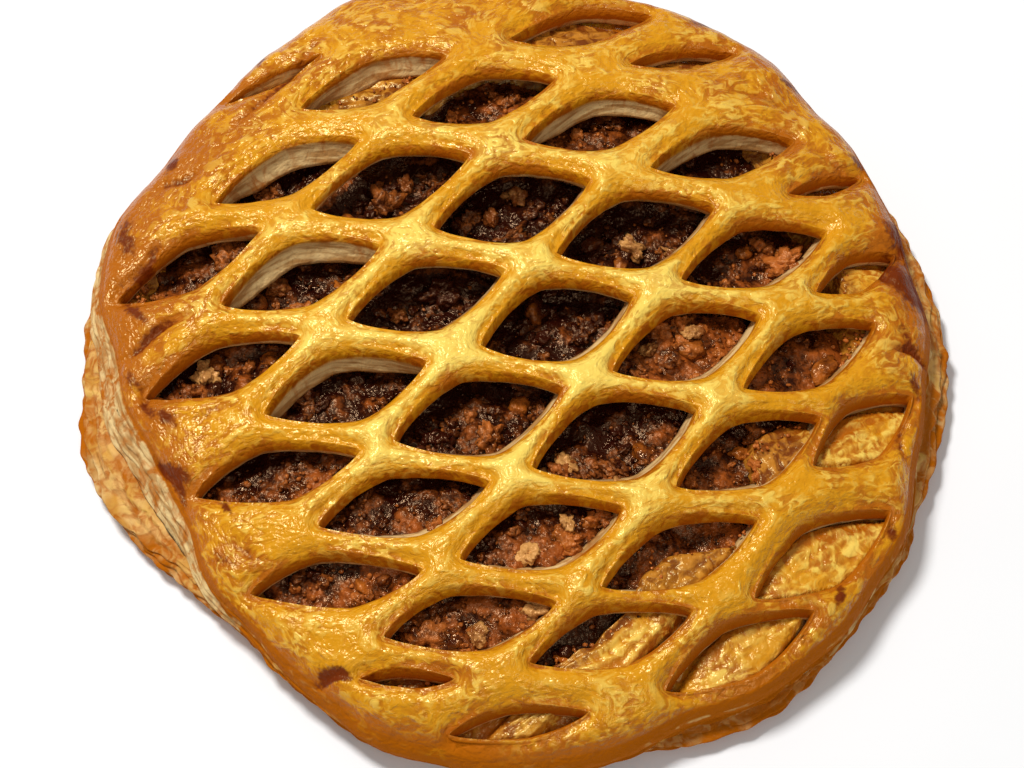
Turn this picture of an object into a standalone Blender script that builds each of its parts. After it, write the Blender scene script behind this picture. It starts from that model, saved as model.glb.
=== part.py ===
"""Apple walnut crumble pie: a round puff pastry pie about 200 mm across.

Three pieces, one on the other: a flaky base crust that is a shallow dish, the crumble filling that lies
in it, and a lattice lid, a sheet of puff pastry pulled open into rows of diamonds, that rests on both.
The pie stands on z = 0, and -Y is its front.
"""

import math

import bmesh
import bpy
import numpy as np
from mathutils import Matrix, Vector, noise
from mathutils.geometry import delaunay_2d_cdt

MM = 0.001
GAP = 0.4 * MM  # clear space between pieces that touch

# Lid: a low dome whose border lies on the base crust
LID_RADIUS = 96.5 * MM
# Where the outline stands out or was cut short: how far, at which angle, and half how many degrees wide
LID_BULGES = (
    (8.0 * MM, 95, 45),
    (-3.0 * MM, 143, 12),
    (-13.5 * MM, 208, 27),
    (3.5 * MM, 274, 24),
    (2.2 * MM, 318, 20),
    (-3.0 * MM, 3, 22),
)
# Ripples of the outline: how far, how many in a turn, and the angle they start at
LID_WAVES = ((0.9 * MM, 7, 40), (0.6 * MM, 13, 10), (0.4 * MM, 23, 70))
LID_CREST = 30.0 * MM  # highest point of the dome
LID_BORDER_TOP = 18.0 * MM
LID_DOME_POWER = 2.6
LID_THICKNESS_MIDDLE = 8.5 * MM
LID_THICKNESS_BORDER = 8.0 * MM
FRONT_DRAPE = 4.5 * MM  # how much lower the border hangs at the front
CROWN_RELIEF = 0.7 * MM  # puffed unevenness of the crowns
BORDER_MARGIN = 4.6 * MM  # uncut pastry outside the tips of the openings
# The lid's side at the left is a slanting knife cut: how far its foot runs out, and where
CUT_SLANT = 6.5 * MM
CUT_MIDDLE = 195
CUT_HALF_WIDTH = 30

# Lattice of openings. "across" counts along a row, "down" counts rows towards the front.
LATTICE_MIDDLE = (1.4 * MM, -13.3 * MM)
ROW_STEP = (29.6 * MM, -6.3 * MM)
COLUMN_STEP = (-17.4 * MM, -23.4 * MM)
# The sheet was pulled open by hand, so its rows bow, fan out and crowd together near the border.
ROW_BOW = (0.0 * MM, 0.9 * MM)  # times across squared
COLUMN_BOW = (0.5 * MM, 0.9 * MM)  # times down squared
FAN = (0.5 * MM, -0.7 * MM)  # times across and down
ROW_CROWDING = (-0.2 * MM, 0.3 * MM)  # times across cubed
ROW_TWIST = (0.4 * MM, 0.0 * MM)  # times across squared and down
COLUMN_TWIST = (-0.5 * MM, -0.4 * MM)  # times across and down squared
COLUMN_CROWDING = (0.1 * MM, 0.3 * MM)  # times down cubed
# The rows from back to front, each with its first and last opening
ROWS = {-4: (-2, -1), -3: (-4, 1), -2: (-3, 2), -1: (-3, 2), 0: (-2, 3), 1: (-1, 3), 2: (0, 3), 3: (1, 2)}
LATTICE_REACH = 5  # steps each way from the middle, for the crowns of the strands
# Openings that the hand pulled out of line, with how far
PULLED = {
    (3, 0): (0.0, 5.0 * MM),
    (3, 1): (2.5 * MM, 0.0),
    (3, 2): (-1.0 * MM, 1.5 * MM),
    (2, 2): (0.5 * MM, 2.5 * MM),
    (2, 3): (-4.0 * MM, 1.0 * MM),
    (1, 3): (0.5 * MM, 1.0 * MM),
    (1, -3): (4.0 * MM, 0.0),
    (0, -3): (2.5 * MM, 0.0),
    (-3, -2): (3.0 * MM, 0.0),
}
# Openings that baked nearly shut, or spread wide, with the shares of their usual length and width
SHAPED = {
    (1, 3): (0.5, 0.35),
    (2, 3): (0.8, 0.65),
    (1, -3): (0.6, 0.45),
    (2, -2): (0.7, 0.85),
    (-1, -4): (0.75, 0.6),
    (-4, -3): (0.75, 0.45),
    (3, 0): (0.9, 1.15),
    (3, 1): (1.0, 1.15),
    (2, 1): (1.0, 0.9),
    (0, 1): (1.0, 0.92),
    (0, -1): (1.0, 1.08),
    (-1, -2): (1.0, 1.06),
}

OPENING_HALF_LENGTH = 18.2 * MM
OPENING_HALF_WIDTH = 9.5 * MM
OPENING_LEAST_LENGTH = 6.0 * MM
OPENING_LEAST_WIDTH = 1.6 * MM
OPENING_MOST_WIDTH = 9.8 * MM
OPENING_POINT = 1.45  # 1 makes a straight-sided diamond, 2 a round-sided lens
OPENING_TIP = 0.85  # under 1 blunts the tips
# The profile of a strand, from its shoulder down to its foot: how far each level stands back from the
# opening, how far inside the border, and its share of the fall from the crown to the underside
PROFILE = (
    (1.7 * MM, 1.9 * MM, 0.06),
    (0.2 * MM, 0.2 * MM, 0.36),
    (-0.3 * MM, -0.8 * MM, 0.66),
    (-1.0 * MM, 0.6 * MM, 1.0),
)

# Base crust: a dish with a flange of puffed layers round it
BASE_RADIUS = 98.8 * MM
BASE_BULGES = ((-9.0 * MM, 230, 22), (2.5 * MM, 301, 13))
BASE_WAVES = ((0.7 * MM, 6, 80), (0.5 * MM, 11, 20))
FLOOR_THICKNESS = 4.0 * MM
DISH_RADIUS = 77.0 * MM  # of the dish's lip
DISH_BULGES = (
    (10.0 * MM, 171, 24),
    (8.0 * MM, 248, 28),
    (-12.0 * MM, 300, 13),
    (-16.0 * MM, 332, 12),
    (4.0 * MM, 45, 20),
    (-3.0 * MM, 115, 15),
)
DISH_SLOPE = 11.0 * MM  # plan width of the dish's sloping wall
# How far the lip and the flange's rings, from the inside out, stay under the lid's faceted underside
LIP_DROP = 0.8 * MM
FLANGE_DROPS = (0.8 * MM, 0.4 * MM, 0.16 * MM)
FOOT_INSET = 5.0 * MM  # how far the flat underside stays inside the flange
FLANGE_HEIGHT = 8.0 * MM
SIDE_SWELL = 3.2 * MM
LAYER_RELIEF = 1.3 * MM
LAYER_COUNT = 4
TEAR_RELIEF = 1.6 * MM

# Filling: sunk below the lid in the middle, close under it towards the front
SAG_MIDDLE = 5.5 * MM
SAG_FRONT = 1.2 * MM
FILLING_RELIEF = 1.4 * MM
LUMP_RADIUS = (2.6 * MM, 4.6 * MM)
LUMPS_PER_OPENING = 3

# Fineness of the solids
OPENING_STEPS = 14  # points round an opening
RING_STEPS = 84  # points round the border of each piece
SIDE_LEVELS = 11
CROWN_SPACING = 3.0 * MM
FILLING_REACHES = (0.14, 0.28, 0.42, 0.56, 0.69, 0.81, 0.92)  # shares of the rim's radius
SHARP_ANGLE = 60.0  # edges under this are shaded smooth

GOLDEN_CRUST = (0.78, 0.43, 0.10, 1.0)
GLAZED_CRUST = (0.86, 0.50, 0.09, 1.0)
DARK_FILLING = (0.13, 0.045, 0.018, 1.0)


def clear_scene():
    for obj in list(bpy.data.objects):
        bpy.data.objects.remove(obj, do_unlink=True)


def bump(angle, middle, half_width):
    """A smooth rise from 0 to 1 round the middle angle. Angles are in degrees."""
    apart = (np.asarray(angle) - middle + 180.0) % 360.0 - 180.0
    return np.exp(-((apart / half_width) ** 2))


def wave(angle, turns, phase):
    return np.cos(np.radians(turns * np.asarray(angle) - phase))


def polar(x, y):
    """(radius, angle in degrees) of plan points."""
    return np.hypot(x, y), np.degrees(np.arctan2(y, x)) % 360.0


def unevenness(points, size, seed):
    """Smooth noise, about -1 to 1, at 3-D points. size is the width of one swelling."""
    offset = Vector((seed * 17.3, seed * -9.1, seed * 5.7))
    return np.array([noise.noise(Vector(p) / size + offset) for p in points])


# Outlines and surfaces


def outline(angle, radius, bulges, waves):
    for rise, middle, half_width in bulges:
        radius = radius + rise * bump(angle, middle, half_width)
    for rise, turns, phase in waves:
        radius = radius + rise * wave(angle, turns, phase)
    return radius


def lid_radius(angle):
    return outline(angle, LID_RADIUS, LID_BULGES, LID_WAVES)


def base_radius(angle):
    return outline(angle, BASE_RADIUS, BASE_BULGES, BASE_WAVES)


def dish_radius(angle):
    return outline(angle, DISH_RADIUS, DISH_BULGES, ())


def lid_share(x, y):
    """0 in the middle of the lid and 1 at its border."""
    radius, angle = polar(x, y)
    return radius / lid_radius(angle)


def dome(x, y):
    """Height of the lid's crown, before its strands are rounded off."""
    share = np.clip(lid_share(x, y), 0.0, 1.0)
    _, angle = polar(x, y)
    fall = share**LID_DOME_POWER
    height = LID_CREST - (LID_CREST - LID_BORDER_TOP) * fall
    return height - FRONT_DRAPE * bump(angle, 280, 55) * share**4


def underside(x, y):
    """Height of the lid's underside."""
    share = np.clip(lid_share(x, y), 0.0, 1.0)
    thickness = LID_THICKNESS_MIDDLE + (LID_THICKNESS_BORDER - LID_THICKNESS_MIDDLE) * share**2
    return dome(x, y) - thickness


# Lattice


def lattice_point(across, down):
    """Plan point of the lattice. Whole numbers are the middles of openings."""
    down = down + 0.5
    terms = (
        (1.0, LATTICE_MIDDLE),
        (across, ROW_STEP),
        (down, COLUMN_STEP),
        (across**2, ROW_BOW),
        (down**2, COLUMN_BOW),
        (across * down, FAN),
        (across**3, ROW_CROWDING),
        (across**2 * down, ROW_TWIST),
        (across * down**2, COLUMN_TWIST),
        (down**3, COLUMN_CROWDING),
    )
    return np.array([sum(amount * step[axis] for amount, step in terms) for axis in (0, 1)])


def unit(vector):
    return vector / np.hypot(*vector)


def room_along(point, direction):
    """How far one can go from a plan point before the lid's border."""
    steps = np.arange(0.0, 60.0) * MM
    path = point + steps[:, None] * direction
    radius, angle = polar(path[:, 0], path[:, 1])
    inside = radius < lid_radius(angle) - BORDER_MARGIN
    return steps[np.argmin(inside)] if not inside.all() else steps[-1]


def opening_at(across, down):
    """The opening at a lattice place as a dict, or None where the border leaves no room."""
    middle = lattice_point(across, down) + PULLED.get((across, down), (0.0, 0.0))
    long_way = unit(lattice_point(across + 0.5, down - 0.5) - lattice_point(across - 0.5, down + 0.5))
    short_way = unit(lattice_point(across - 0.5, down - 0.5) - lattice_point(across + 0.5, down + 0.5))
    share = lid_share(*middle)
    variety = noise.noise(Vector((across * 1.7, down * 1.3, 4.2)))
    length_share, width_share = SHAPED.get((across, down), (1.0, 1.0 + 0.15 * variety))
    reach = OPENING_HALF_LENGTH * length_share * (1.0 + 0.1 * variety) * (1.0 - 0.05 * share**2)
    ahead = min(reach, room_along(middle, long_way))
    behind = min(reach, room_along(middle, -long_way))
    half_length = (ahead + behind) / 2
    if half_length < OPENING_LEAST_LENGTH:
        return None
    narrowing = 1.0 - 0.85 * max(0.0, share - 0.3) ** 1.3
    half_width = OPENING_HALF_WIDTH * narrowing * (half_length / OPENING_HALF_LENGTH) ** 0.5
    half_width *= width_share
    sideways = min(room_along(middle, short_way), room_along(middle, -short_way))
    half_width = max(OPENING_LEAST_WIDTH, min(half_width, sideways, OPENING_MOST_WIDTH))
    return {
        "middle": middle + long_way * (ahead - behind) / 2,
        "long_way": long_way,
        "short_way": short_way,
        "half_length": half_length,
        "half_width": half_width,
    }


def openings():
    places = [(across, down) for down, (first, last) in ROWS.items() for across in range(first, last + 1)]
    found = [opening_at(across, down) for across, down in places]
    return [opening for opening in found if opening]


def resample(loop, count):
    """count points at even steps along a closed loop, from its first point."""
    closed = np.vstack([loop, loop[:1]])
    along = np.concatenate([[0.0], np.cumsum(np.hypot(*np.diff(closed, axis=0).T))])
    wanted = np.arange(count) / count * along[-1]
    return np.column_stack([np.interp(wanted, along, closed[:, axis]) for axis in (0, 1)])


def opening_loop(opening, count, outset=0.0):
    """count plan points round an opening, anticlockwise from its right tip, moved out by outset."""
    turn = np.linspace(0.0, 2 * np.pi, 400, endpoint=False)
    along = np.cos(turn)
    aside = np.sign(np.sin(turn)) * (1.0 - np.abs(along) ** OPENING_POINT) ** OPENING_TIP
    half_length = opening["half_length"] + outset * 0.8
    half_width = max(opening["half_width"] + outset, 0.35 * opening["half_width"])
    loop = (
        opening["middle"]
        + np.outer(along * half_length, opening["long_way"])
        + np.outer(aside * half_width, opening["short_way"])
    )
    wobble = unevenness(np.column_stack([loop, 0 * along]), 14 * MM, 1) * 0.5 * MM
    loop = loop + (loop - opening["middle"]) / half_length * wobble[:, None]
    return resample(loop, count)


def cut_slant(angle):
    """How far the foot of the lid's side runs out past its top."""
    return CUT_SLANT * bump(angle, CUT_MIDDLE, CUT_HALF_WIDTH)


def border_loop(count, inset=0.0, share=0.0):
    """count plan points round the lid, a share of the way down its side."""
    angle = np.arange(count) / count * 360.0
    radius = lid_radius(angle) - inset + cut_slant(angle) * share
    turn = np.radians(angle)
    return np.column_stack([radius * np.cos(turn), radius * np.sin(turn)])


def distance_to_loops(points, loops):
    """Distance from each plan point to the nearest of some closed loops."""
    nearest = np.full(len(points), np.inf)
    for loop in loops:
        start, end = loop, np.roll(loop, -1, axis=0)
        side = end - start
        to_point = points[:, None, :] - start[None, :, :]
        share = np.clip((to_point * side).sum(2) / (side**2).sum(1), 0.0, 1.0)
        away = to_point - share[:, :, None] * side
        nearest = np.minimum(nearest, np.sqrt((away**2).sum(2)).min(1))
    return nearest


def inside_loop(points, loop):
    """Whether each plan point lies inside a closed loop."""
    inside = np.zeros(len(points), bool)
    for (x0, y0), (x1, y1) in zip(loop, np.roll(loop, -1, axis=0)):
        crosses = (y0 > points[:, 1]) != (y1 > points[:, 1])
        with np.errstate(divide="ignore", invalid="ignore"):
            at_x = x0 + (points[:, 1] - y0) / (y1 - y0) * (x1 - x0)
        inside ^= crosses & (points[:, 0] < at_x)
    return inside


def thinned(points, least):
    """The points with none nearer than least to one kept before it."""
    kept = []
    for point in points:
        if all(np.hypot(*(point - other)) >= least for other in kept):
            kept.append(point)
    return np.array(kept)


def triangulate(loops, inner):
    """Triangles of the region between a border, the first loop, and its holes, the others. Returns
    (points, triangles). The points are those of the loops, in order, and then the inner ones."""
    border, *holes = loops
    points = np.vstack([*loops, inner])
    edges = []
    first = 0
    for loop in loops:
        count = len(loop)
        edges += [(first + k, first + (k + 1) % count) for k in range(count)]
        first += count
    result = delaunay_2d_cdt([Vector(p) for p in points], edges, [], 0, 1e-9)
    made = np.array([tuple(v) for v in result[0]])
    order = np.array([originals[0] for originals in result[3]])
    triangles = np.array([tuple(face) for face in result[2]])
    middles = made[triangles].mean(1)
    keep = inside_loop(middles, border)
    for hole in holes:
        keep &= ~inside_loop(middles, hole)
    return points, order[triangles[keep]]


# Solids


def new_object(name, vertices, faces, colour, roughness):
    mesh = bpy.data.meshes.new(name)
    mesh.from_pydata([tuple(v) for v in vertices], [], [tuple(f) for f in faces])
    edit = bmesh.new()
    edit.from_mesh(mesh)
    bmesh.ops.recalc_face_normals(edit, faces=edit.faces)
    edit.to_mesh(mesh)
    edit.free()
    mesh.shade_smooth()
    mesh.set_sharp_from_angle(angle=math.radians(SHARP_ANGLE))
    material = bpy.data.materials.new(name)
    material.use_nodes = True
    shader = material.node_tree.nodes["Principled BSDF"]
    shader.inputs["Base Color"].default_value = colour
    shader.inputs["Roughness"].default_value = roughness
    mesh.materials.append(material)
    obj = bpy.data.objects.new(name, mesh)
    bpy.context.scene.collection.objects.link(obj)
    return obj


def crown_points(border, holes):
    """Points along the crowns of the strands, inside a border and clear of some holes."""
    steps = np.arange(-LATTICE_REACH - 0.5, LATTICE_REACH + 1.0, 0.25)
    crowns = [lattice_point(i, j) for i in steps for j in steps if i % 1 == 0.5 or j % 1 == 0.5]
    points = np.vstack([border_loop(RING_STEPS // 2, 6.0 * MM), np.array(crowns)])
    keep = inside_loop(points, border)
    keep &= distance_to_loops(points, [border, *holes]) > 0.4 * CROWN_SPACING
    for hole in holes:
        keep &= ~inside_loop(points, hole)
    return thinned(points[keep], CROWN_SPACING)


def sheet_height(plan, share):
    """Height of the lid at plan points, a share of the way from its crown down to its underside."""
    x, y = plan.T
    points = np.column_stack([plan, 0 * x])
    relief = unevenness(points, 24 * MM, 5) + 0.5 * unevenness(points, 7 * MM, 6)
    crown = dome(x, y) + CROWN_RELIEF * relief
    return crown + share * (underside(x, y) - crown)


def make_lid():
    """The lattice sheet: its crowned top, its underside, and the flank of every strand between them."""
    cuts = openings()
    levels = []
    for back, inside, share in PROFILE:
        rounds = [opening_loop(cut, OPENING_STEPS, back) for cut in cuts]
        levels.append(([border_loop(RING_STEPS, inside, share), *rounds], share))
    ring_size = len(np.vstack(levels[0][0]))

    top, top_faces = triangulate(levels[0][0], crown_points(levels[0][0][0], levels[0][0][1:]))
    share = np.where(np.arange(len(top)) < ring_size, levels[0][1], 0.0)
    vertices = [np.column_stack([top, sheet_height(top, share)])]
    faces = [top_faces]
    rows = [np.arange(ring_size)]
    first = len(top)
    for loops, share in levels[1:-1]:
        level = np.vstack(loops)
        vertices.append(np.column_stack([level, sheet_height(level, share)]))
        rows.append(np.arange(first, first + ring_size))
        first += ring_size
    foot = levels[-1][0]
    bottom, bottom_faces = triangulate(foot, crown_points(foot[0], foot[1:])[::2])
    vertices.append(np.column_stack([bottom, underside(*bottom.T)]))
    rows.append(np.arange(first, first + ring_size))
    faces.append(bottom_faces[:, ::-1] + first)

    starts = np.cumsum([0] + [len(loop) for loop in foot])
    for upper, lower in zip(rows, rows[1:]):
        for start, end in zip(starts, starts[1:]):
            here = np.arange(start, end)
            following = np.roll(here, -1)
            faces.append(np.column_stack([upper[here], upper[following], lower[following]]))
            faces.append(np.column_stack([upper[here], lower[following], lower[here]]))
    return new_object("lattice_lid", np.vstack(vertices), np.vstack(faces), GLAZED_CRUST, 0.35)


def lofted(name, rings, colour, roughness):
    """A closed solid from rings of equal size, whose first and last are closed by a point each."""
    count = len(rings[0])
    vertices = [rings[0].mean(0), *np.vstack(rings), rings[-1].mean(0)]
    faces = []
    for k in range(count):
        after = (k + 1) % count
        faces.append((0, 1 + k, 1 + after))
        for ring in range(len(rings) - 1):
            here, below = 1 + ring * count, 1 + (ring + 1) * count
            faces.append((here + k, below + k, below + after, here + after))
        last = 1 + (len(rings) - 1) * count
        faces.append((last + k, len(vertices) - 1, last + after))
    return new_object(name, vertices, faces, colour, roughness)


def ring_at(radius, angle, height):
    turn = np.radians(angle)
    x, y = radius * np.cos(turn), radius * np.sin(turn)
    return np.column_stack([x, y, height + 0 * x])


def resting_height(ring):
    """Height just under the lid, for the points of a ring."""
    return underside(ring[:, 0], ring[:, 1]) - GAP


def flange_height(angle):
    """Height of the flange's outer edge. It puffed up where the lid doesn't weigh on it."""
    return FLANGE_HEIGHT + 1.2 * MM * bump(angle, 190, 30) - 2.5 * MM * bump(angle, 280, 50)


def layered(angle, level):
    """How far the puffed layers stand out at a level of the side, 0 at the top and 1 at the foot."""
    swell = SIDE_SWELL * np.sin(np.pi * level) ** 0.6
    layers = LAYER_RELIEF * np.cos(2 * np.pi * (LAYER_COUNT * level + 0.25 * wave(angle, 3, 50)))
    points = ring_at(BASE_RADIUS, angle, 30 * MM * level)
    tears = unevenness(points, 11 * MM, 2) + 0.5 * unevenness(points, 4 * MM, 3)
    return swell + layers + TEAR_RELIEF * tears


def dish_lip(angle):
    lip = ring_at(dish_radius(angle), angle, 0.0)
    lip[:, 2] = resting_height(lip) - LIP_DROP
    return lip


def make_base():
    """The dish: its floor, its sloping wall, the flange under the lid, the layered side and the foot."""
    angle = np.arange(RING_STEPS) / RING_STEPS * 360.0
    floor = dish_radius(angle) - DISH_SLOPE
    rings = [ring_at(floor * 0.5, angle, FLOOR_THICKNESS), ring_at(floor, angle, FLOOR_THICKNESS)]
    lip = dish_lip(angle)
    rings.append(lip)
    outer = base_radius(angle)
    edge = ring_at(outer - 3.0 * MM, angle, flange_height(angle))
    under_lid = ring_at(np.minimum(lid_radius(angle) - 0.3 * MM, outer - 4.5 * MM), angle, 0.0)
    under_foot = ring_at(np.minimum(lid_radius(angle) + cut_slant(angle), outer - 4.0 * MM), angle, 0.0)
    middle = (lip + under_lid) / 2
    for ring, drop in zip((middle, under_lid, under_foot), FLANGE_DROPS):
        ring[:, 2] = resting_height(ring) - drop
        rings.append(ring)
    edge[:, 2] = np.minimum(edge[:, 2], resting_height(edge) - 0.5 * MM)
    rings.append(edge)
    for level in np.linspace(0.0, 1.0, SIDE_LEVELS)[1:]:
        radius = outer - SIDE_SWELL + layered(angle, level) - FOOT_INSET * level**3
        rings.append(ring_at(radius, angle, edge[:, 2] * (1.0 - level)))
    rings.append(ring_at(outer * 0.6, angle, 0.0))
    return lofted("base_crust", rings, GOLDEN_CRUST, 0.55)


def filling_height(x, y):
    """Height of the filling's surface, without its lumps."""
    share = np.clip(y / (60.0 * MM) + 0.9, 0.0, 1.0)
    sag = SAG_FRONT + (SAG_MIDDLE - SAG_FRONT) * share
    points = np.column_stack([x, y, 0 * x])
    return underside(x, y) - GAP - sag + FILLING_RELIEF * (unevenness(points, 9 * MM, 4) - 0.4)


def dish_wall_radius(angle, height):
    """Radius of the dish's sloping wall at some heights."""
    share = (height - FLOOR_THICKNESS) / (dish_lip(angle)[:, 2] - FLOOR_THICKNESS)
    return dish_radius(angle) - DISH_SLOPE * (1.0 - np.clip(share, 0.0, 1.0))


def make_filling():
    """The crumble: an uneven heap that fills the dish, with the lumps that show in the openings."""
    angle = np.arange(RING_STEPS) / RING_STEPS * 360.0
    rim = dish_radius(angle) - 3.0 * MM
    rings = []
    for reach in FILLING_REACHES:
        ring = ring_at(rim * reach, angle, 0.0)
        ring[:, 2] = filling_height(ring[:, 0], ring[:, 1])
        rings.append(ring)
    edge = ring_at(rim, angle, 0.0)
    edge[:, 2] = filling_height(edge[:, 0], edge[:, 1]) - 0.5 * MM
    reach = np.minimum(rim, dish_wall_radius(angle, edge[:, 2]) - 3.0 * GAP)
    rings.append(ring_at(reach, angle, edge[:, 2]))
    floor = FLOOR_THICKNESS + GAP
    foot = dish_radius(angle) - DISH_SLOPE - 2.0 * MM
    rings.append(ring_at(foot, angle, floor))
    rings.append(ring_at(foot * 0.5, angle, floor))
    core = lofted("filling", rings, DARK_FILLING, 0.4)
    fuse(core, [lump for cut in openings() for lump in lumps_in(cut)])
    return core


def lumps_in(cut):
    """The crumble lumps in one opening, kept clear of the lid's walls and of its underside."""
    lumps = []
    for k in range(LUMPS_PER_OPENING):
        place = Vector((*cut["middle"] * 300, 7.0 * k))
        along, aside, size, turn = (noise.noise(place + Vector((0, 0, n * 3.1))) for n in range(4))
        radius = LUMP_RADIUS[0] + (LUMP_RADIUS[1] - LUMP_RADIUS[0]) * (0.5 + size)
        radius = min(max(radius, LUMP_RADIUS[0]), cut["half_width"] * 0.7)
        shift = (0.42 * (k - 1) + 0.2 * along) * cut["half_length"]
        spot = cut["middle"] + cut["long_way"] * shift
        spot = spot + cut["short_way"] * 0.25 * aside * cut["half_width"]
        reach, angle = polar(*spot)
        if radius < 0.8 * LUMP_RADIUS[0] or reach > dish_radius(angle) - 3.0 * MM - 1.9 * radius:
            continue
        height = filling_height(spot[:1], spot[1:])[0] + 0.25 * radius
        ceiling = underside(*spot) - GAP - radius
        lumps.append(lump((*spot, min(height, ceiling)), radius, turn * 6.0))
    return lumps


def lump(middle, radius, turn):
    """One rough lump, a helper that is fused into the filling."""
    mesh = bpy.data.meshes.new("lump")
    edit = bmesh.new()
    bmesh.ops.create_icosphere(edit, subdivisions=1, radius=radius)
    bmesh.ops.transform(edit, matrix=Matrix.Rotation(turn, 4, (0.3, 0.5, 0.8)), verts=edit.verts)
    for vertex in edit.verts:
        swell = noise.noise(vertex.co / radius * 1.3 + Vector((9.0 * turn, 500 * middle[0], 500 * middle[1])))
        vertex.co = vertex.co * (0.92 + 0.22 * swell) + Vector(middle)
    edit.to_mesh(mesh)
    edit.free()
    return bpy.data.objects.new("lump", mesh)


def fuse(core, helpers):
    """Joins helper solids to a core with one Boolean union, applies it and removes them."""
    collection = bpy.data.collections.new("helpers")
    bpy.context.scene.collection.children.link(collection)
    for helper in helpers:
        collection.objects.link(helper)
    join = core.modifiers.new("join", "BOOLEAN")
    join.operation = "UNION"
    join.operand_type = "COLLECTION"
    join.collection = collection
    join.solver = "MANIFOLD"
    graph = bpy.context.evaluated_depsgraph_get()
    joined = bpy.data.meshes.new_from_object(core.evaluated_get(graph))
    core.modifiers.clear()
    core.data = joined
    for helper in helpers:
        bpy.data.objects.remove(helper, do_unlink=True)
    bpy.data.collections.remove(collection)


def centre_on_origin(objects):
    """Moves the meshes so that the whole pie's box is centred over the origin and stands on z = 0."""
    corners = np.array([v.co for obj in objects for v in obj.data.vertices])
    low, high = corners.min(0), corners.max(0)
    shift = Vector((-(low[0] + high[0]) / 2, -(low[1] + high[1]) / 2, -low[2]))
    for obj in objects:
        obj.data.transform(Matrix.Translation(shift))


def main():
    clear_scene()
    centre_on_origin([make_base(), make_filling(), make_lid()])


main()
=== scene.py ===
"""Looks of the apple walnut crumble pie: glazed lattice lid, flaky base crust and sticky crumble filling.

Lengths are in metres, and the pie stands on z = 0 with its front towards -Y.
"""

import math

import bmesh
import bpy
import numpy as np
from mathutils import Matrix, Vector, kdtree, noise
from mathutils.geometry import delaunay_2d_cdt

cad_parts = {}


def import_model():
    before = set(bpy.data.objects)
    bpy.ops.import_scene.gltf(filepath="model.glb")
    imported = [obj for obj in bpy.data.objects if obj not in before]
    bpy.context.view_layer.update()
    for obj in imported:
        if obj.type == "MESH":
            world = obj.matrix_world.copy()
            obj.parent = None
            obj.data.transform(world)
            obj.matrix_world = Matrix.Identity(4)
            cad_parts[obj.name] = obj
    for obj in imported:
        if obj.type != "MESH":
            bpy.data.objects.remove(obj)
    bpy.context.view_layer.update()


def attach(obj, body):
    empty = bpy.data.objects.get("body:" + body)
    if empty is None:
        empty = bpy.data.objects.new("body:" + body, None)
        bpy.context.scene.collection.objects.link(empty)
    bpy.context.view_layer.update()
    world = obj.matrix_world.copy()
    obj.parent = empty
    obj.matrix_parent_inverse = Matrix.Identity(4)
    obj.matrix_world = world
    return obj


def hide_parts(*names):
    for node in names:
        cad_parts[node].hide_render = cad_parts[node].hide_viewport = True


MM = 0.001
SEED = 7

# The pie's own middle, from which its outlines are drawn, as it lies in the CAD frame
PIE_MIDDLE = (0.24 * MM, -1.55 * MM)

# Lid: a low dome whose border lies on the base crust
LID_RADIUS = 96.5 * MM
# Where an outline stands out or was cut short: how many millimetres, at which angle, and half how many
# degrees wide
LID_BULGES = (
    (8.0, 95, 45),
    (-3.0, 143, 12),
    (-13.5, 208, 27),
    (3.5, 274, 24),
    (2.2, 318, 20),
    (-3.0, 3, 22),
)
# Ripples of an outline: how many millimetres, how many in a turn, and the angle they start at
LID_WAVES = ((0.9, 7, 40), (0.6, 13, 10), (0.4, 23, 70))
LID_CREST = 30.0 * MM
LID_BORDER_TOP = 18.0 * MM
LID_DOME_POWER = 2.6
LID_THICKNESS_MIDDLE = 8.5 * MM
LID_THICKNESS_BORDER = 8.0 * MM
FRONT_DRAPE = 4.5 * MM
CROWN_RELIEF = 0.7 * MM
BORDER_MARGIN = 4.6 * MM
# The lid's side at the left is a slanting knife cut: how far its foot runs out, and where
CUT_SLANT = 6.5 * MM
CUT_MIDDLE = 195
CUT_HALF_WIDTH = 30

# Lattice of openings, in millimetres. "across" counts along a row, "down" counts rows to the front.
LATTICE_MIDDLE = (1.4, -13.3)
ROW_STEP = (29.6, -6.3)
COLUMN_STEP = (-17.4, -23.4)
ROW_BOW = (0.0, 0.9)
COLUMN_BOW = (0.5, 0.9)
FAN = (0.5, -0.7)
ROW_CROWDING = (-0.2, 0.3)
ROW_TWIST = (0.4, 0.0)
COLUMN_TWIST = (-0.5, -0.4)
COLUMN_CROWDING = (0.1, 0.3)
ROWS = {-4: (-2, -1), -3: (-4, 1), -2: (-3, 2), -1: (-3, 2), 0: (-2, 3), 1: (-1, 3), 2: (0, 3), 3: (1, 2)}
# How far single openings are pulled from their places in the lattice
PULLED = {
    (3, 0): (0.0, 5.0), (3, 1): (2.5, 0.0), (3, 2): (-1.0, 1.5), (2, 2): (0.5, 2.5), (2, 3): (-4.0, 1.0),
    (1, 3): (0.5, 1.0), (1, -3): (4.0, 0.0), (0, -3): (2.5, 0.0), (-3, -2): (3.0, 0.0),
}
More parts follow.
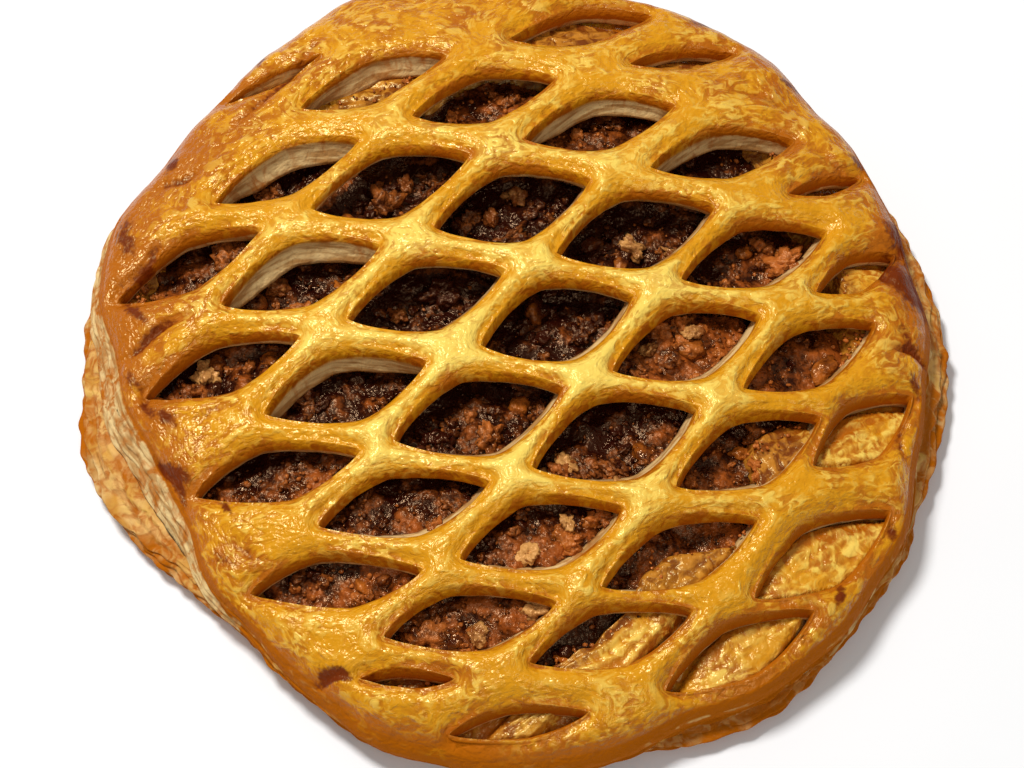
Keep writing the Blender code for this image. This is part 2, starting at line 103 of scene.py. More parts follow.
# Their lengths and widths as shares of the usual ones
SHAPED = {
    (1, 3): (0.5, 0.35), (2, 3): (0.8, 0.65), (1, -3): (0.6, 0.45), (2, -2): (0.7, 0.85),
    (-1, -4): (0.75, 0.6), (-4, -3): (0.75, 0.45), (3, 0): (0.9, 1.15), (3, 1): (1.0, 1.15),
    (2, 1): (1.0, 0.9), (0, 1): (1.0, 0.92), (0, -1): (1.0, 1.08), (-1, -2): (1.0, 1.06),
}
OPENING_HALF_LENGTH = 18.2 * MM
OPENING_HALF_WIDTH = 9.5 * MM
OPENING_LEAST_LENGTH = 6.0 * MM
OPENING_LEAST_WIDTH = 1.6 * MM
OPENING_MOST_WIDTH = 9.8 * MM
OPENING_POINT = 1.45
OPENING_TIP = 0.85

# Strands and border
SHOULDER = 5.0 * MM  # width of the rounded shoulder beside an opening and inside the border
ROUND_SHARE = 0.60  # share of the thickness that the shoulder rounds off
ROUND_SHARE_BARE = 0.36  # the same where the cut stayed bare
FOOT_SHIFT = (-0.9 * MM, 2.4 * MM)  # how far the strands' feet lie off towards the back left
OPENING_STEPS = 84
BORDER_STEPS = 800
STRAND_ROWS = 17  # rows of points from a strand's shoulder down to its foot
SHOULDER_ROWS = 10  # rows over the border's shoulder
SIDE_ROWS = 30  # rows down the border's side
BACK_SHARE = 0.36  # share of the shoulder that those rows take up
FOOT_TUCK = 0.7 * MM  # how far the border's foot lies inside its top
TEAR_MOST_IN = 0.35 * MM  # how far the border's layers go in at most
EDGE_STEPS_BORDER = 2400  # points on the edges to which distances are measured
EDGE_STEPS_OPENING = 360
SHEET_SPACING = 1.05 * MM
SHEET_REACH = 115 * MM
HOLE_REACH = 30 * MM  # no opening reaches further from its middle
# How bare and upright the cut stayed, 0 to 1, by opening. Elsewhere the glazed top rolled down over it.
BARE = {
    (-3, -2): 1.0, (-2, -1): 0.9, (-3, -3): 0.9, (-4, -3): 1.0, (-1, -3): 0.6, (-1, 0): 0.5, (0, -3): 0.5,
    (-1, -2): 0.25, (0, -2): 0.3, (-1, -1): 0.3, (-1, 1): 0.3, (-2, -2): 0.2,
}
BARE_USUAL = 0.1
# How far the pastry below rises into openings near the border, in millimetres
FLOOR_RISE = {
    (3, 0): 4.3, (3, 1): 4.3, (2, 2): 4.1, (3, 2): 4.3, (2, 3): 4.0, (2, 1): 3.0, (2, 0): 2.4,
    (2, -2): 4.0, (1, -3): 1.5, (0, -3): 1.2, (-3, -3): 1.0, (-2, -4): 2.0, (-1, -4): 2.0,
    (-4, -3): 3.0, (-3, -1): 1.5, (1, 3): 2.4,
}
# How much syrup soaked the pastry below, 0 to 1
SYRUP = {
    (2, 0): 1.0, (2, 1): 0.75, (-2, -4): 0.95, (-1, -4): 1.0, (-3, -3): 0.6, (-3, -1): 0.6,
    (0, 2): 0.9, (1, 3): 1.0, (2, 3): 0.45, (3, 2): 0.12, (0, -3): 0.4, (1, -3): 0.8,
    (-2, 0): 0.6, (-1, 1): 0.6,
}
# How much higher the filling lies than usual, in millimetres
HEAPED = {
    (1, -1): 3.6, (1, -2): 3.2, (2, -1): 3.6, (-3, -2): 2.0, (-3, -1): 3.2, (-2, 0): 2.6,
    (-1, 1): 2.2, (-2, -3): 2.8, (-1, -3): 2.0, (0, -3): 1.6, (1, 0): 1.2, (0, 1): 2.0,
    (1, 1): 2.0, (0, 2): 1.6, (1, 2): 1.6, (-2, -1): 1.0, (-1, 0): 0.8, (-2, -2): 0.6, (2, 0): 1.0,
}
# How much lighter and more amber the filling is than usual, or darker where it is below 0: painted shade
# in the deep middle openings
AMBER_AND_SHADE = {
    (1, -2): 0.5, (1, -1): 0.6, (2, -1): 0.7, (2, 0): 0.5, (2, 1): 0.7, (1, 1): 0.4, (0, 1): 0.2,
    (0, 2): 0.6, (1, 2): 0.6, (-2, 0): 0.2, (-1, 1): 0.3, (-3, -1): 0.3, (-2, -3): 0.5,
    (-1, -3): 0.3, (1, 3): 0.3, (0, -2): -0.25, (-1, -2): -0.35, (0, -1): -0.2, (-1, -1): -0.25,
    (-2, -2): -0.15,
}
# Creases where the lid folded or all but closed: two ends as plan points in millimetres, and the depth
CREASES = (
    ((-87, -6), (-73, 3), 2.0),
    ((-82, -14), (-80, -22), 1.4),
    ((-88, 12), (-79, 24), 1.6),
    ((-80, -28), (-70, -43), 2.0),
    ((-70, -24), (-60, -20), 0.9),
    ((-62, -52), (-52, -57), 1.2),
    ((-42, -82), (-33, -82), 2.0),
    ((-33, -82), (-24, -83), 1.2),
    ((-82, 38), (-72, 42), 1.4),
    ((-66, 53), (-45, 82), 1.5),
    ((88, 12), (80, 20), 1.2),
    ((86, -3), (94, -6), 2.2),
    ((86, -20), (86, -32), 1.4),
    ((52, 66), (66, 60), 0.8),
    ((70, 50), (80, 40), 0.8),
    ((30, -84), (60, -74), 0.8),
)

# Base crust
BASE_RADIUS = 98.8 * MM
BASE_BULGES = ((-9.0, 230, 22), (2.5, 301, 13))
BASE_WAVES = ((0.7, 6, 80), (0.5, 11, 20))
FLOOR_THICKNESS = 4.0 * MM
DISH_RADIUS = 77.0 * MM
DISH_BULGES = (
    (10.0, 171, 24),
    (8.0, 248, 28),
    (-12.0, 300, 13),
    (-16.0, 332, 12),
    (4.0, 45, 20),
    (-3.0, 115, 15),
)
DISH_SLOPE = 11.0 * MM
FOOT_INSET = 5.0 * MM
FLANGE_HEIGHT = 8.0 * MM
BASE_STEPS = 720
# Under the openings at the back, where the lid's bulge hangs over, the base reaches further out
BACK_REACH = 4.0 * MM
BACK_MIDDLE = 78
BACK_HALF_WIDTH = 18
LIP_RAGGED = 1.6 * MM
TERRACES = (0.15, 0.35, 0.55, 0.75, 0.92)  # where the flange's torn layers end, from the lid out
TERRACE_HEIGHT = 0.75 * MM

# Filling
SAG_MIDDLE = 5.5 * MM
SAG_FRONT = 1.2 * MM
GAP = 0.4 * MM
BED_SPACING = 0.52 * MM
CORE_STEPS = 240


def bump(angle, middle, half_width):
    """A smooth rise from 0 to 1 round the middle angle. Angles are in degrees."""
    apart = (np.asarray(angle) - middle + 180.0) % 360.0 - 180.0
    return np.exp(-((apart / half_width) ** 2))


def wave(angle, turns, phase):
    return np.cos(np.radians(turns * np.asarray(angle) - phase))


def smooth(value, low, high):
    """0 below low, 1 above high, and an even passage between."""
    share = np.clip((value - low) / (high - low), 0.0, 1.0)
    return share * share * (3.0 - 2.0 * share)


def polar(x, y):
    return np.hypot(x, y), np.degrees(np.arctan2(y, x)) % 360.0


def unevenness(points, size, seed):
    """Smooth noise, about -1 to 1, at 3-D points. size is the width of one swelling."""
    offset = Vector((seed * 17.3, seed * -9.1, seed * 5.7))
    return np.array([noise.noise(Vector(p) / size + offset) for p in points])


def flat(x, y):
    """Plan points as 3-D points on z = 0, for noise."""
    return np.column_stack([x, y, 0 * x])


# Outlines and surfaces, the same as those of the solids but for the relief


def outline(angle, radius, bulges, waves):
    for rise, middle, half_width in bulges:
        radius = radius + rise * MM * bump(angle, middle, half_width)
    for rise, turns, phase in waves:
        radius = radius + rise * MM * wave(angle, turns, phase)
    return radius


def lid_radius(angle):
    return outline(angle, LID_RADIUS, LID_BULGES, LID_WAVES)


def base_radius(angle):
    return outline(angle, BASE_RADIUS, BASE_BULGES, BASE_WAVES)


def dish_radius(angle):
    return outline(angle, DISH_RADIUS, DISH_BULGES, ())


def lid_share(x, y):
    radius, angle = polar(x, y)
    return radius / lid_radius(angle)


def dome(x, y):
    share = np.clip(lid_share(x, y), 0.0, 1.0)
    _, angle = polar(x, y)
    height = LID_CREST - (LID_CREST - LID_BORDER_TOP) * share**LID_DOME_POWER
    return height - FRONT_DRAPE * bump(angle, 280, 55) * share**4


def underside(x, y):
    share = np.clip(lid_share(x, y), 0.0, 1.0)
    thickness = LID_THICKNESS_MIDDLE + (LID_THICKNESS_BORDER - LID_THICKNESS_MIDDLE) * share**2
    return dome(x, y) - thickness


def lattice_point(across, down):
    """Plan point of the lattice. Whole numbers are the middles of openings."""
    down = down + 0.5
    terms = (
        (1.0, LATTICE_MIDDLE),
        (across, ROW_STEP),
        (down, COLUMN_STEP),
        (across**2, ROW_BOW),
        (down**2, COLUMN_BOW),
        (across * down, FAN),
        (across**3, ROW_CROWDING),
        (across**2 * down, ROW_TWIST),
        (across * down**2, COLUMN_TWIST),
        (down**3, COLUMN_CROWDING),
    )
    return np.array([sum(amount * (step[axis] * MM) for amount, step in terms) for axis in (0, 1)])


def unit(vector):
    return vector / np.hypot(*vector)


def room_along(point, direction):
    """How far one can go from a plan point before the lid's border."""
    steps = np.arange(0.0, 60.0) * MM
    path = point + steps[:, None] * direction
    radius, angle = polar(path[:, 0], path[:, 1])
    inside = radius < lid_radius(angle) - BORDER_MARGIN
    return steps[np.argmin(inside)] if not inside.all() else steps[-1]


def opening_at(across, down):
    """The opening at a lattice place as a dict, or None where the border leaves no room."""
    middle = lattice_point(across, down) + np.multiply(PULLED.get((across, down), (0.0, 0.0)), MM)
    long_way = unit(lattice_point(across + 0.5, down - 0.5) - lattice_point(across - 0.5, down + 0.5))
    short_way = unit(lattice_point(across - 0.5, down - 0.5) - lattice_point(across + 0.5, down + 0.5))
    share = lid_share(*middle)
    variety = noise.noise(Vector((across * 1.7, down * 1.3, 4.2)))
    length_share, width_share = SHAPED.get((across, down), (1.0, 1.0 + 0.15 * variety))
    reach = OPENING_HALF_LENGTH * length_share * (1.0 + 0.1 * variety) * (1.0 - 0.05 * share**2)
    ahead = min(reach, room_along(middle, long_way))
    behind = min(reach, room_along(middle, -long_way))
    half_length = (ahead + behind) / 2
    if half_length < OPENING_LEAST_LENGTH:
        return None
    narrowing = 1.0 - 0.85 * max(0.0, share - 0.3) ** 1.3
    half_width = OPENING_HALF_WIDTH * narrowing * (half_length / OPENING_HALF_LENGTH) ** 0.5
    half_width *= width_share
    sideways = min(room_along(middle, short_way), room_along(middle, -short_way))
    half_width = max(OPENING_LEAST_WIDTH, min(half_width, sideways, OPENING_MOST_WIDTH))
    return {
        "place": (across, down),
        "middle": middle + long_way * (ahead - behind) / 2,
        "long_way": long_way,
        "short_way": short_way,
        "half_length": half_length,
        "half_width": half_width,
    }


def openings():
    places = [(across, down) for down, (first, last) in ROWS.items() for across in range(first, last + 1)]
    found = [opening_at(across, down) for across, down in places]
    return [opening for opening in found if opening]


def blended(x, y, cuts, values, usual=0.0):
    """A value that each opening has, spread evenly over the plan between them."""
    total = np.full(np.shape(x), 1e-6)
    amount = total * usual
    for cut in cuts:
        apart = np.hypot(x - cut["middle"][0], y - cut["middle"][1]) / (11.0 * MM)
        weight = np.exp(-(apart**2))
        total = total + weight
        amount = amount + weight * values.get(cut["place"], usual)
    return amount / total


def cut_slant(angle):
    """How far the foot of the lid's side runs out past its top."""
    return CUT_SLANT * bump(angle, CUT_MIDDLE, CUT_HALF_WIDTH)


def crease_depth(x, y, width=1.0):
    """How deep the creases cut into the lid's top. width widens them."""
    depth = 0.0 * x
    for first, last, deep in CREASES:
        start, end = np.array(first) * MM, np.array(last) * MM
        along = end - start
        share = ((x - start[0]) * along[0] + (y - start[1]) * along[1]) / (along**2).sum()
        held = np.clip(share, 0.0, 1.0)
        waver = 0.6 * MM * np.sin(held * 7.0 + deep * 5.0)
        side = unit(np.array([-along[1], along[0]]))
        away = np.hypot(
            x - start[0] - held * along[0] - waver * side[0],
            y - start[1] - held * along[1] - waver * side[1],
        )
        ends = 0.25 + 0.75 * np.sin(np.pi * np.clip(share, 0.02, 0.98))
        depth = np.maximum(depth, deep * MM * ends * np.exp(-((away / (0.9 * MM * width)) ** 2)))
    return depth


def resample(loop, count):
    """count points at even steps along a closed loop, from its first point."""
    closed = np.vstack([loop, loop[:1]])
    along = np.concatenate([[0.0], np.cumsum(np.hypot(*np.diff(closed, axis=0).T))])
    wanted = np.arange(count) / count * along[-1]
    return np.column_stack([np.interp(wanted, along, closed[:, axis]) for axis in (0, 1)])


def opening_loop(opening, count, outset=0.0):
    """count plan points round an opening, anticlockwise from its right tip, moved out by outset."""
    turn = np.linspace(0.0, 2 * np.pi, 400, endpoint=False)
    along = np.cos(turn)
    aside = np.sign(np.sin(turn)) * (1.0 - np.abs(along) ** OPENING_POINT) ** OPENING_TIP
    half_length = opening["half_length"] + outset * 0.8
    half_width = max(opening["half_width"] + outset, 0.35 * opening["half_width"])
    loop = (
        opening["middle"]
        + np.outer(along * half_length, opening["long_way"])
        + np.outer(aside * half_width, opening["short_way"])
    )
    wobble = unevenness(flat(*loop.T), 14 * MM, 1) * 0.5 * MM
    loop = loop + (loop - opening["middle"]) / half_length * wobble[:, None]
    return resample(loop, count)


def angles(count):
    """count even steps round the pie, in degrees."""
    return np.arange(count) / count * 360.0


def around(radius, angle):
    """Plan points at radii and angles."""
    turn = np.radians(angle)
    return np.column_stack([radius * np.cos(turn), radius * np.sin(turn)])


def ring(radius, angle, height):
    """Points at radii, angles and heights."""
    plan = around(radius, angle)
    return np.column_stack([plan, height + 0 * plan[:, 0]])


def border_loop(count):
    angle = angles(count)
    return around(lid_radius(angle), angle)


def inside_loop(points, loop):
    """Whether each plan point lies inside a closed loop."""
    inside = np.zeros(len(points), bool)
    for (x0, y0), (x1, y1) in zip(loop, np.roll(loop, -1, axis=0)):
        crosses = (y0 > points[:, 1]) != (y1 > points[:, 1])
        with np.errstate(divide="ignore", invalid="ignore"):
            at_x = x0 + (points[:, 1] - y0) / (y1 - y0) * (x1 - x0)
        inside ^= crosses & (points[:, 0] < at_x)
    return inside


def nearest_distance(points, targets):
    """Distance from each plan point to the nearest target."""
    tree = kdtree.KDTree(len(targets))
    for index, (x, y) in enumerate(targets):
        tree.insert((x, y, 0.0), index)
    tree.balance()
    return np.array([tree.find((x, y, 0.0))[2] for x, y in points])


def between(points, loops):
    """Whether each plan point lies between a border, the first loop, and its holes, the others."""
    border, *holes = loops
    keep = inside_loop(points, border)
    for hole in holes:
        near = np.hypot(*(points - hole.mean(0)).T) < HOLE_REACH
        keep[near] &= ~inside_loop(points[near], hole)
    return keep


def triangulate(loops, inner):
    """Triangles of the region between a border, the first loop, and its holes, the others. Returns
    (points, triangles). The points are those of the loops, in order, and then the inner ones."""
    points = np.vstack([*loops, inner])
    edges = []
    first = 0
    for loop in loops:
        count = len(loop)
        edges += [(first + k, first + (k + 1) % count) for k in range(count)]
        first += count
    result = delaunay_2d_cdt([Vector(p) for p in points], edges, [], 0, 1e-9)
    made = np.array([tuple(v) for v in result[0]])
    order = np.array([originals[0] for originals in result[3]])
    triangles = np.array([tuple(face) for face in result[2]])
    keep = between(made[triangles].mean(1), loops)
    return points, order[triangles[keep]]


def sheet_points(loops):
    """An even field of plan points between a border, the first loop, and its holes, the others."""
    rows = np.arange(-SHEET_REACH, SHEET_REACH, SHEET_SPACING * math.sqrt(0.75))
    points = []
    for row, y in enumerate(rows):
        x = np.arange(-SHEET_REACH, SHEET_REACH, SHEET_SPACING) + (row % 2) * SHEET_SPACING / 2
        points.append(np.column_stack([x, 0 * x + y]))
    points = np.vstack(points)
    points = points[between(points, loops)]
    return points[nearest_distance(points, np.vstack(loops)) > 0.6 * SHEET_SPACING]


# Making objects


class Shell:
    """Collects vertices and faces of one mesh."""

    def __init__(self):
        self.vertices = []
        self.faces = []
        self.count = 0

    def add(self, vertices):
        """Adds vertices and returns their numbers."""
        first = self.count
        self.vertices.append(np.asarray(vertices, float))
        self.count += len(vertices)
        return np.arange(first, self.count)

    def bridge(self, first, second):
        """Joins two closed rows of equally many vertices by quads. Seen from outside the first row
        runs anticlockwise and lies above the second one."""
        quads = [first, np.roll(first, -1), np.roll(second, -1), second]
        self.faces.append(np.column_stack(quads))

    def points(self):
        return np.vstack(self.vertices)

    def make_piece(self, name, material, attributes, node=None):
        """One piece of the pie, with its point attributes. node is the solid that it replaces."""
        mesh = bpy.data.meshes.new(name)
        moved = self.points() + (*PIE_MIDDLE, 0.0)
        polygons = [face for block in self.faces for face in block.tolist()]
        mesh.from_pydata(moved.tolist(), [], polygons)
        for label, values in attributes.items():
            layer = mesh.attributes.new(label, "FLOAT", "POINT")
            layer.data.foreach_set("value", np.asarray(values, np.float32))
        mesh.update()
        mesh.shade_smooth()
        mesh.materials.append(material)
        piece = in_scene(name, mesh)
        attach(piece, "root")
        if node:
            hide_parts(node)


def in_scene(name, data):
    """A new object, linked to the scene."""
    made = bpy.data.objects.new(name, data)
    bpy.context.scene.collection.objects.link(made)
    return made


# Materials


class Paint:
    """A Principled material and short names for its nodes."""

    def __init__(self, name, **fixed):
        self.material = bpy.data.materials.new(name)
        self.material.use_nodes = True
        self.nodes = self.material.node_tree.nodes
        self.links = self.material.node_tree.links
        self.shader = self.nodes["Principled BSDF"]
        for socket, value in fixed.items():
            self.shader.inputs[socket.replace("_", " ")].default_value = value
        coordinates = self.nodes.new("ShaderNodeTexCoord")
        self.place = coordinates.outputs["Object"]

    def put(self, socket, value):
        """Links a node's output to a socket, or sets the socket to a fixed value."""
        if isinstance(value, bpy.types.NodeSocket):
            self.links.new(value, socket)
        else:
            socket.default_value = value

    def add(self, kind, **inputs):
        """Adds a node and sets its inputs, with _ for the spaces in their names."""
        node = self.nodes.new("ShaderNode" + kind)
        for socket, value in inputs.items():
            self.put(node.inputs[socket.replace("_", " ")], value)
        return node

    def attribute(self, label):
        node = self.add("Attribute")
        node.attribute_name = label
        return node.outputs["Fac"]

    def stretched(self, scale):
        """The object's coordinates, stretched by a scale for each axis."""
        return self.add("Mapping", Vector=self.place, Scale=scale).outputs["Vector"]

    def along_strands(self):
        """Coordinates in which textures run along the strands: plan place shrunk, edge distance kept."""
        along = self.add("CombineXYZ", Z=self.attribute("along"))
        total = self.add("VectorMath")
        total.operation = "ADD"
        self.put(total.inputs[0], self.stretched((0.8, 0.8, 0.5)))
        self.put(total.inputs[1], along.outputs["Vector"])
        return total.outputs["Vector"]

    def noise(self, size, detail=3.0, roughness=0.55, distortion=0.0, place=None):
        """Cloudy noise whose swellings are size wide."""
        node = self.add("TexNoise", Vector=place or self.place, Scale=0.6 / size, Detail=detail)
        node.inputs["Roughness"].default_value = roughness
        node.inputs["Distortion"].default_value = distortion
        return node.outputs["Fac"]

    def cells(self, size, place=None):
        """Distance from the nearest cell's middle, where the cells are size wide."""
        return self.add("TexVoronoi", Vector=place or self.place, Scale=1.0 / size).outputs["Distance"]

    def math(self, operation, first, second=0.0):
        node = self.add("Math")
        node.operation = operation
        self.put(node.inputs[0], first)
        self.put(node.inputs[1], second)
        return node.outputs[0]

    def ramp(self, value, low, high, start=0.0, end=1.0):
        """value between low and high, spread smoothly from start to end."""
        node = self.add("MapRange", Value=value, From_Min=low, From_Max=high, To_Min=start, To_Max=end)
        node.interpolation_type = "SMOOTHSTEP"
        return node.outputs["Result"]

    def mix(self, share, first, second):
        node = self.add("Mix")
        node.data_type = "RGBA"
        self.put(node.inputs["Factor"], share)
        self.put(node.inputs[6], first)
        self.put(node.inputs[7], second)
        return node.outputs[2]

    def relief(self, height, distance, strength=1.0, under=None):
        node = self.add("Bump", Strength=strength, Distance=distance, Height=height)
        if under:
            self.links.new(under, node.inputs["Normal"])
        return node.outputs["Normal"]

    def finish(self, colour, roughness, normal):
        self.put(self.shader.inputs["Base Color"], colour)
        self.put(self.shader.inputs["Roughness"], roughness)
        self.put(self.shader.inputs["Normal"], normal)
        return self.material


GOLDEN = (0.66, 0.275, 0.005, 1.0)
PALE_GOLD = (0.88, 0.61, 0.11, 1.0)
ORANGE_BROWN = (0.42, 0.108, 0.002, 1.0)
BURNT = (0.15, 0.020, 0.001, 1.0)
CREAM = (0.74, 0.52, 0.23, 1.0)
CREAM_SHADE = (0.44, 0.23, 0.075, 1.0)
SYRUP_BROWN = (0.17, 0.035, 0.003, 1.0)
SYRUP_AMBER = (0.50, 0.19, 0.018, 1.0)
# The filling's parts: the colour of their dark places and of their light ones
SAUCE = (0.020, 0.0025, 0.001, 1.0), (0.34, 0.078, 0.010, 1.0)
CRUMB = (0.030, 0.004, 0.0015, 1.0), (0.46, 0.125, 0.020, 1.0)
WALNUT = (0.18, 0.045, 0.008, 1.0), (0.60, 0.29, 0.08, 1.0)
APPLE = (0.05, 0.008, 0.002, 1.0), (0.42, 0.110, 0.011, 1.0)


def pastry(name):
    """Puff pastry. Its attributes: glaze, 1 on glazed crowns and 0 on bare sides; brown, how far it
    browned, and on the floors of the openings also painted shade; wide, 1 on broad pale places, and on
    those floors also painted highlights; burn, dark spots; syrup, how soaked it is; gloss, how shiny;
    along, a distance that makes wrinkles run along the strands. The wrinkles are painted with shade in
    their valleys and highlights on their peaks."""
    paint = Paint(name, Specular_Tint=(1.0, 0.86, 0.42, 1.0))
    glaze = paint.attribute("glaze")
    blotches = paint.noise(6 * MM, 3.0, 0.6)
    speckle = paint.noise(0.9 * MM, 2.0, 0.65)
    flow = paint.noise(1.5 * MM, 2.0, 0.6, 0.9, paint.along_strands())

    wide = paint.math("ADD", paint.attribute("wide"), paint.ramp(blotches, 0.35, 0.65, -0.25, 0.2))
    # Paler on the flow wrinkles' peaks: painted highlight
    wide = paint.math("ADD", wide, paint.ramp(flow, 0.4, 0.65, -0.15, 0.3))
    crown = paint.mix(paint.ramp(wide, 0.0, 1.0), GOLDEN, PALE_GOLD)
    browning_and_shade = paint.math("ADD", paint.attribute("brown"), paint.ramp(blotches, 0.3, 0.75, -0.25, 0.3))
    # Browner in the flow wrinkles' valleys: painted shade
    browning_and_shade = paint.math("ADD", browning_and_shade, paint.ramp(flow, 0.35, 0.62, 0.32, -0.22))
    crown = paint.mix(paint.ramp(browning_and_shade, 0.1, 1.0), crown, ORANGE_BROWN)
    burn = paint.math("ADD", paint.attribute("burn"), paint.ramp(speckle, 0.3, 0.7, 0.2, -0.2))
    crown = paint.mix(paint.ramp(burn, 0.3, 0.95), crown, BURNT)

    layers = paint.noise(0.8 * MM, 2.0, 0.65, 0.3, paint.stretched((0.14, 0.14, 1.0)))
    side = paint.mix(paint.ramp(layers, 0.38, 0.6), CREAM_SHADE, CREAM)
    side = paint.mix(paint.ramp(browning_and_shade, 0.35, 1.2), side, ORANGE_BROWN)
    colour = paint.mix(glaze, side, crown)
    soaked = paint.mix(paint.ramp(flow, 0.38, 0.62), SYRUP_BROWN, SYRUP_AMBER)
    colour = paint.mix(paint.attribute("syrup"), colour, soaked)

    blisters = paint.cells(1.25 * MM, paint.along_strands())
    blisters = paint.math("MULTIPLY", blisters, -1.0)
    normal = paint.relief(blotches, 1.6 * MM, 0.5)
    normal = paint.relief(flow, 0.6 * MM, 0.7, normal)
    normal = paint.relief(blisters, 0.22 * MM, 0.7, normal)
    normal = paint.relief(speckle, 0.25 * MM, 0.8, normal)
    gloss = paint.attribute("gloss")
    paint.put(paint.shader.inputs["Specular IOR Level"], paint.ramp(gloss, 0.0, 1.0, 0.02, 0.55))
    smoothed = paint.ramp(gloss, 0.0, 1.0, 0.0, 0.3)
    rough = paint.math("SUBTRACT", paint.ramp(speckle, 0.3, 0.7, 0.50, 0.6), smoothed)
    return paint.finish(colour, rough, normal)


def crumble(name, dark, light, grain):
    """Sticky filling with a grain this wide. Its attribute tint goes from 0, dark, to 1, light."""
    paint = Paint(name, Specular_IOR_Level=0.5, Specular_Tint=(1.0, 0.62, 0.34, 1.0))
    coarse = paint.noise(3.5 * MM, 2.0, 0.6)
    fine = paint.noise(grain, 3.0, 0.7)
    tint = paint.math("ADD", paint.attribute("tint"), paint.ramp(coarse, 0.3, 0.7, -0.35, 0.25))
    tint = paint.math("ADD", tint, paint.ramp(fine, 0.3, 0.7, -0.2, 0.25))
    colour = paint.mix(paint.ramp(tint, 0.0, 1.0), dark, light)
    normal = paint.relief(fine, 0.45 * MM, 0.7)
    normal = paint.relief(paint.cells(0.9 * MM), 0.35 * MM, 0.6, normal)
    return paint.finish(colour, paint.ramp(coarse, 0.35, 0.65, 0.14, 0.36), normal)


def floor_paint():
    paint = Paint("studio_floor", Specular_IOR_Level=0.2)
    mottle = paint.noise(40 * MM, 2.0)
    colour = paint.mix(mottle, (0.86, 0.86, 0.86, 1.0), (0.90, 0.90, 0.90, 1.0))
    return paint.finish(colour, 0.8, paint.relief(paint.noise(2 * MM), 0.05 * MM, 0.1))


# Lid


def round_share(bare):
    return ROUND_SHARE + (ROUND_SHARE_BARE - ROUND_SHARE) * bare


def rounding(near):
    """From 1 at an edge, near 0, down to 0 on the crown, near 1, as on a slightly flattened rope."""
    away = 1.0 - np.clip(near, 0.0, 1.0)
    return 0.5 * (1.0 - np.sqrt(1.0 - away**2)) + 0.5 * away**2


def rounded(inside, bare):
    """Share of the depth at a distance inside an edge, on the rounded shoulder."""
    return round_share(bare) * rounding(inside / SHOULDER)


def sheet_height(plan, share):
    """Height of the lid at plan points, a share of the way from its crown down to its underside."""
    x, y = plan.T
    points = flat(x, y)
    relief = unevenness(points, 24 * MM, 5) + 0.5 * unevenness(points, 7 * MM, 6)
    relief = relief + 0.32 * unevenness(points, 3.0 * MM, 8)
    relief = relief * (1.0 + 0.8 * smooth(lid_share(x, y), 0.72, 0.92))
    crown = dome(x, y) + CROWN_RELIEF * relief - crease_depth(x, y)
    return crown + share * (underside(x, y) - crown)


def strand_side(cut, cuts):
    """Rows of points from the shoulder to the foot round one opening, with their shares."""
    rows = []
    room = 1.0 - smooth(lid_share(*cut["middle"]), 0.6, 0.85)
    shown = BARE.get(cut["place"], BARE_USUAL)
    seen = shown > 0.4
    spread = 1.2 * shown * min(1.0, cut["half_width"] / (7.0 * MM)) ** 1.5
    for step in np.linspace(0.0, 1.0, STRAND_ROWS):
        rise = max(0.0, 1.0 - step / 0.5)
        fall = max(0.0, step / 0.5 - 1.0)
        back = SHOULDER * BACK_SHARE * rise**1.7
        loop = opening_loop(cut, OPENING_STEPS, back)
        far = smooth((loop - cut["middle"]) @ cut["short_way"] / cut["half_width"], -0.3, 0.6)
        moved = -spread * far if seen else 0.3 + 0.7 * room + 0.0 * far
        loop = loop + np.outer(moved * fall**1.6, FOOT_SHIFT)
        bare = blended(*loop.T, cuts, BARE, BARE_USUAL)
        share = rounded(back, bare) + (1.0 - round_share(bare)) * fall
        rows.append((loop, share))
    return rows


def lid_side():
    """Rows of points from the shoulder to the foot of the lid's border, with their shares."""
    angle = angles(BORDER_STEPS)
    cut = cut_bare(angle)
    shoulder, top = border_shape(angle)
    rows = []
    for step in np.linspace(0.0, 1.0, SHOULDER_ROWS):
        inset = SHOULDER * (1.0 - 0.45 * cut) * BACK_SHARE * (1.0 - step) ** 1.7
        rows.append((around(lid_radius(angle) - inset, angle), top * rounding(inset / shoulder)))
    for number in range(1, SIDE_ROWS + 1):
        down = number / SIDE_ROWS
        share = top + (1.0 - top) * down * (1.0 + 1.15 * hanging(angle))
        torn = torn_layers(angle, down, 5.0, 0.6, 61)
        torn = torn * (1.5 - 0.5 * cut) * (1.0 - 0.6 * hanging(angle))
        torn = np.maximum(torn, -TEAR_MOST_IN) * smooth(down, 0.05, 0.4)
        radius = lid_radius(angle) - FOOT_TUCK * down**2 + cut_slant(angle) * down + torn
        rows.append((around(radius, angle), share))
    return rows


def torn_layers(angle, level, count, amount, seed):
    """How far puffed layers stand out at a level of a side, 0 at the top and 1 at the foot."""
    warp = 0.45 * unevenness(ring(0.1, angle, 2 * MM * level), 30 * MM, seed)
    warp = warp + 0.25 * unevenness(ring(0.1, angle, 4 * MM * level), 9 * MM, seed + 1)
    phase = count * level + warp
    leaf = np.floor(phase)
    within = phase - leaf
    places = [Vector((a * 0.10, n * 7.7, seed)) for a, n in zip(angle, leaf)]
    reach = np.array([noise.noise(p) for p in places])
    tears = np.array([noise.noise(p * 4.3) for p in places])
    curve = np.sqrt(np.clip(4 * within * (1 - within), 0.0, 1.0))
    return MM * amount * (1.2 * (curve - 0.8) + 1.3 * reach + 0.9 * tears)


def hanging(angle):
    """1 where the lid's glazed side hangs down over that of the base, in front."""
    return bump(angle, 262, 26)


def border_shape(angle):
    """Width of the border's shoulder, and the share of the thickness that it rounds off."""
    cut = cut_bare(angle)
    return SHOULDER * (1.0 - 0.45 * cut + 0.9 * hanging(angle)), 0.6 - 0.42 * cut + 0.3 * hanging(angle)


def cut_bare(angle):
    """1 where the lid's side is a bare knife cut, 0 where it's rounded and glazed."""
    return smooth(bump(angle, 200, 40), 0.25, 0.75)


